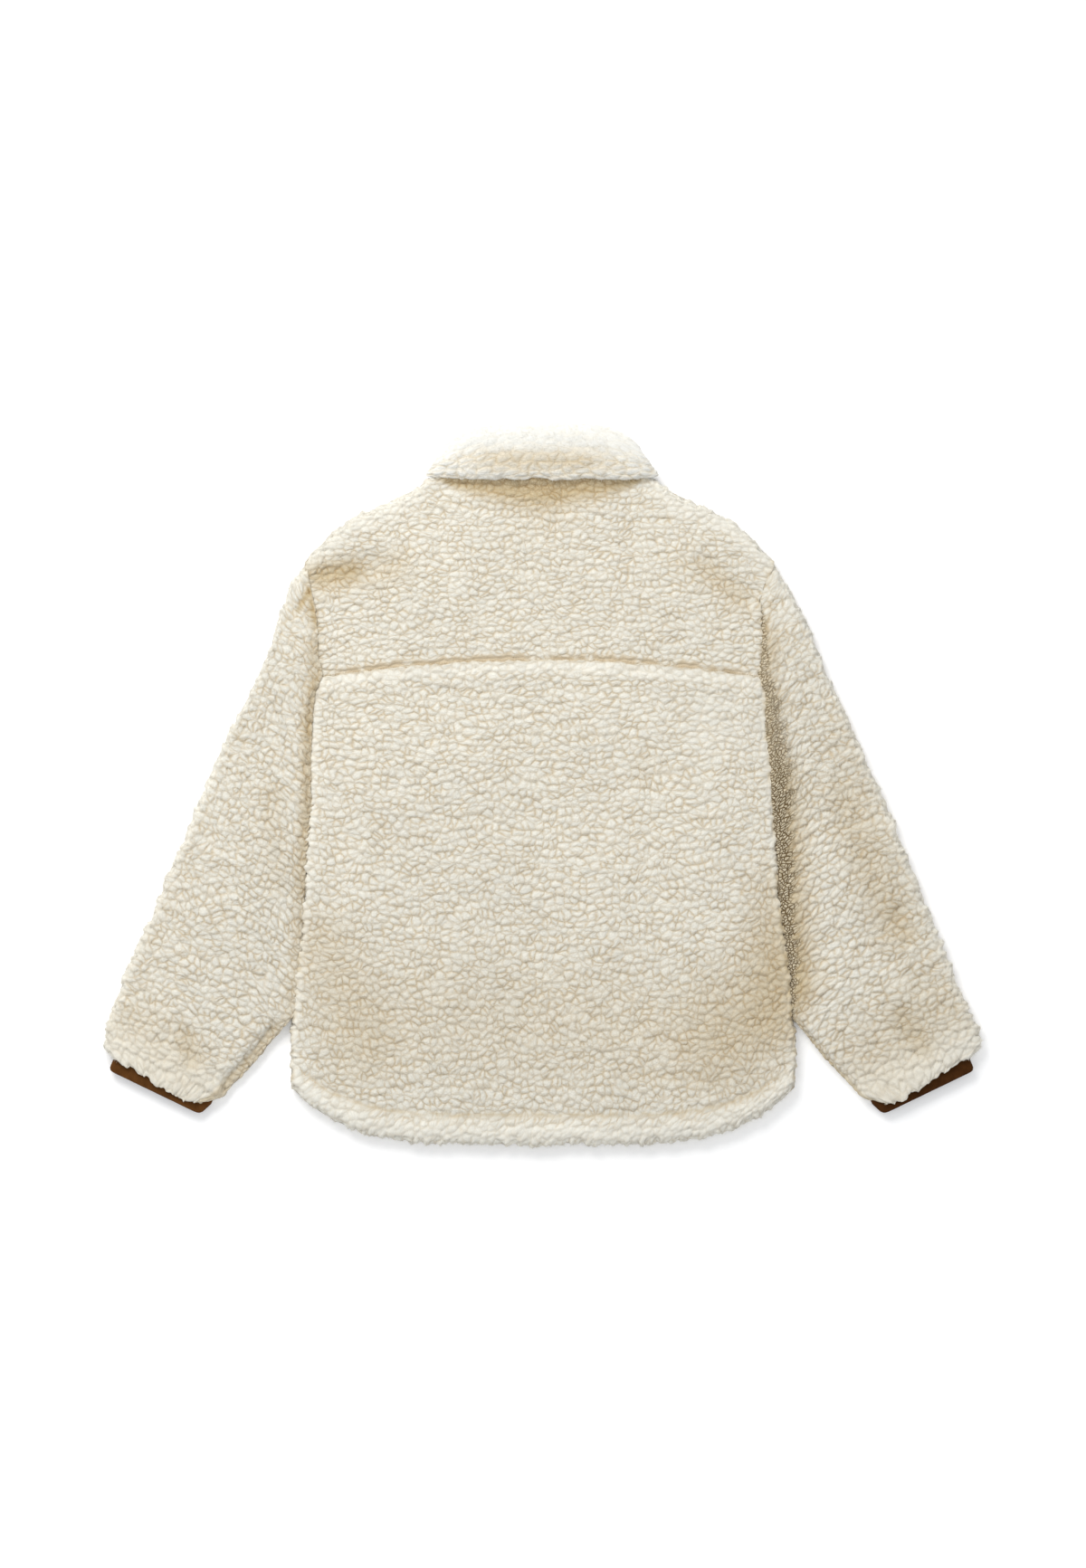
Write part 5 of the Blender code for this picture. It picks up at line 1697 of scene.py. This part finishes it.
# %% Seam and hem stitches
YOKE_SEAM_END = 0.985                # how far out the stitches run, as a share of the half width
HEM_SEAM_END = 0.975
YOKE_STITCH_ROWS = ((1.3, -0.2), (3.4, -0.1))    # up from the seam, and over the ledge, mm


def seam_line(height, end, y_of, level):
    """A line across the back, at even steps, from its left side to its right one."""
    share = np.linspace(-end, end, 260)
    reach = np.where(share < 0, edge_x("left", height), edge_x("right", height))
    return np.column_stack([share * reach, y_of(np.abs(share)), level + 0.0 * share])


ledge_top = BACK_FLOOR + BACK_WALL - YOKE_LEDGE_DEPTH
groove_floor = BACK_FLOOR + BACK_WALL - HEM_STITCH_DEPTH
yoke_lines = []
for up, over in YOKE_STITCH_ROWS:
    yoke_lines.append(seam_line(YOKE_SIDE, YOKE_SEAM_END, lambda s: yoke_y(s) + up, ledge_top + over))
yoke_stitches = sew("yoke_stitches", yoke_lines, tan_thread, Spacing=0.0028, Length=0.0018,
                    Thickness=0.0008)

hem_line = seam_line(HEM_SIDE + 28.0, HEM_SEAM_END, lambda s: mix(hem_y(s), yoke_y(s), HEM_STITCH),
                     groove_floor - 0.9)
hem_stitches = sew("hem_stitches", [hem_line], amber_thread, Spacing=0.0036, Length=0.0029,
                   Thickness=0.0009)
print("stitches:", len(yoke_stitches.data.polygons) + len(hem_stitches.data.polygons), "faces")

# %% [markdown]
# ## Loose fibres
#
# A clump's fibres stand out most where the cloth turns over a rim, along the collar and beside
# seams, and they give sherpa its soft outline. Modelling every fibre isn't possible, so bent
# cones stand for small locks and single fibres. Geometry Nodes scatter them over a shell where
# its "fuzz" attribute says, and lean each one a chance way off the surface.


# %% Fibre tree
def make_fibre_group():
    group, given = new_group("comb_fibres", Density=("Float", 100000.0), Length=("Float", 0.004),
                             Width=("Float", 0.001), Lean=("Float", 0.9), Seed=("Int", 1),
                             Material=("Material", None))
    density = times(group, read_field(group, "fuzz"), given["Density"])
    scattered = add_node(group, "GeometryNodeDistributePointsOnFaces", {
        "Mesh": given["Geometry"], "Density": density, "Seed": given["Seed"]},
        distribute_method="RANDOM")
    cone = add_node(group, "GeometryNodeMeshCone", {
        "Vertices": 3, "Side Segments": 2, "Radius Top": 0.0, "Radius Bottom": 0.5, "Depth": 1.0},
        fill_type="NONE")
    # the cone bends over towards its tip
    height = point_place(group)["Z"]
    bend = times(group, times(group, height, height), 0.9)
    shift = add_node(group, "ShaderNodeCombineXYZ", {"X": bend})
    bent = add_node(group, "GeometryNodeSetPosition",
                    {"Geometry": cone.outputs["Mesh"], "Offset": shift.outputs[0]})
    lean = times(group, given["Lean"], -1.0)
    least, most = (
        add_node(group, "ShaderNodeCombineXYZ", {"X": tip, "Y": tip, "Z": turn}).outputs[0]
        for tip, turn in ((lean, -math.pi), (given["Lean"], math.pi)))
    turn = add_node(group, "FunctionNodeRandomValue", {0: least, 1: most, "Seed": given["Seed"]},
                    data_type="FLOAT_VECTOR")
    euler = add_node(group, "FunctionNodeEulerToRotation", {0: turn.outputs[0]})
    turned = add_node(group, "FunctionNodeRotateRotation", {
        "Rotation": scattered.outputs["Rotation"], "Rotate By": euler.outputs[0]},
        rotation_space="LOCAL")
    luck = add_node(group, "FunctionNodeRandomValue", {2: 0.55, 3: 1.15, "Seed": given["Seed"]},
                    data_type="FLOAT").outputs[1]
    length = times(group, given["Length"], luck)
    size = add_node(group, "ShaderNodeCombineXYZ",
                    {"X": given["Width"], "Y": given["Width"], "Z": length})
    placed = add_node(group, "GeometryNodeInstanceOnPoints", {
        "Points": scattered.outputs["Points"], "Instance": bent.outputs[0],
        "Rotation": turned.outputs[0], "Scale": size.outputs[0]})
    close_group(group, placed.outputs[0], given["Material"])
    return group


def comb(shell, name, material, **sizes):
    """Fibres on a copy of a finished shell."""
    piece = add_object(name, shell.data.copy())
    return grow(piece, fibre_group, Material=material, **sizes)


def fibre_material(name, root, tip):
    material, tree, shader = new_material(name)
    luck = noise(tree, object_place(tree), 260.0, 2.0)
    colour = blend_colour(tree, ramp(tree, luck, 0.3, 0.7), root, tip)
    tree.links.new(colour, shader.inputs["Base Color"])
    set_shader(shader, 0.9, sheen=0.2, specular=0.1)
    return material


fibre_group = make_fibre_group()
cream_fibre = fibre_material("cream_fibre", (0.72, 0.69, 0.60, 1.0), (0.82, 0.80, 0.73, 1.0))
pale_fibre = fibre_material("pale_fibre", (0.78, 0.75, 0.67, 1.0), (0.86, 0.835, 0.765, 1.0))
FIBRE = {"Length": 0.0036, "Width": 0.0004, "Lean": 0.9, "Seed": 5}
pile = {}
for shell, density in ((back_body, 130000.0), (back_yoke, 200000.0), (sleeves["left"], 150000.0),
                       (sleeves["right"], 150000.0), (collar, 70000.0)):
    name = shell.name.replace("_fleece", "_pile")
    colour = pale_fibre if shell == collar else cream_fibre
    pile[shell.name] = comb(shell, name, colour, Density=density, **FIBRE)
    print(name, len(pile[shell.name].data.polygons), "faces")

# %% [markdown]
# ## Press studs
#
# The studs are hard turned caps whose solids already have the right shape, so they stay and only
# get a finish: aged brass, finely grained and duller in patches.

# %% Stud brass
def brass_material():
    material, tree, shader = new_material("aged_brass")
    place = object_place(tree)
    grain = noise(tree, place, 900.0, 3.0)
    patina = noise(tree, place, 160.0, 2.0)
    colour = blend_colour(tree, ramp(tree, patina, 0.35, 0.7), BRIGHT_BRASS, DULL_BRASS)
    tree.links.new(colour, shader.inputs["Base Color"])
    tree.links.new(ramp(tree, patina, 0.3, 0.8, 0.28, 0.5), shader.inputs["Roughness"])
    emboss(tree, shader, 0.3, 0.00015, grain)
    shader.inputs["Metallic"].default_value = 1.0
    return material


BRIGHT_BRASS = (0.42, 0.31, 0.17, 1.0)
DULL_BRASS = (0.20, 0.14, 0.08, 1.0)
brass = brass_material()
for index in range(STUD_COUNT):
    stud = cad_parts["press_stud_" + str(index + 1)]
    for place in stud.material_slots:
        place.material = brass

# %% [markdown]
# ## Closing the frame
#
# Every piece rides on the jacket's one body, and the cut pieces take the place of their solids.


# %% Putting the pieces in place
def dress(piece, node):
    """Puts a piece in the place of its solid."""
    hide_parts(node)
    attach(piece, "root")


dress(back_body, "back_body")
dress(back_yoke, "back_yoke")
dress(collar, "collar")
dress(underlap, "front_underlap")
for side in SIDES:
    dress(sleeves[side], "sleeve_" + side)
    dress(fronts[side], "front_" + side)
    dress(bindings[side], "cuff_binding_" + side)
for piece in (yoke_stitches, hem_stitches, *pile.values()):
    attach(piece, "root")
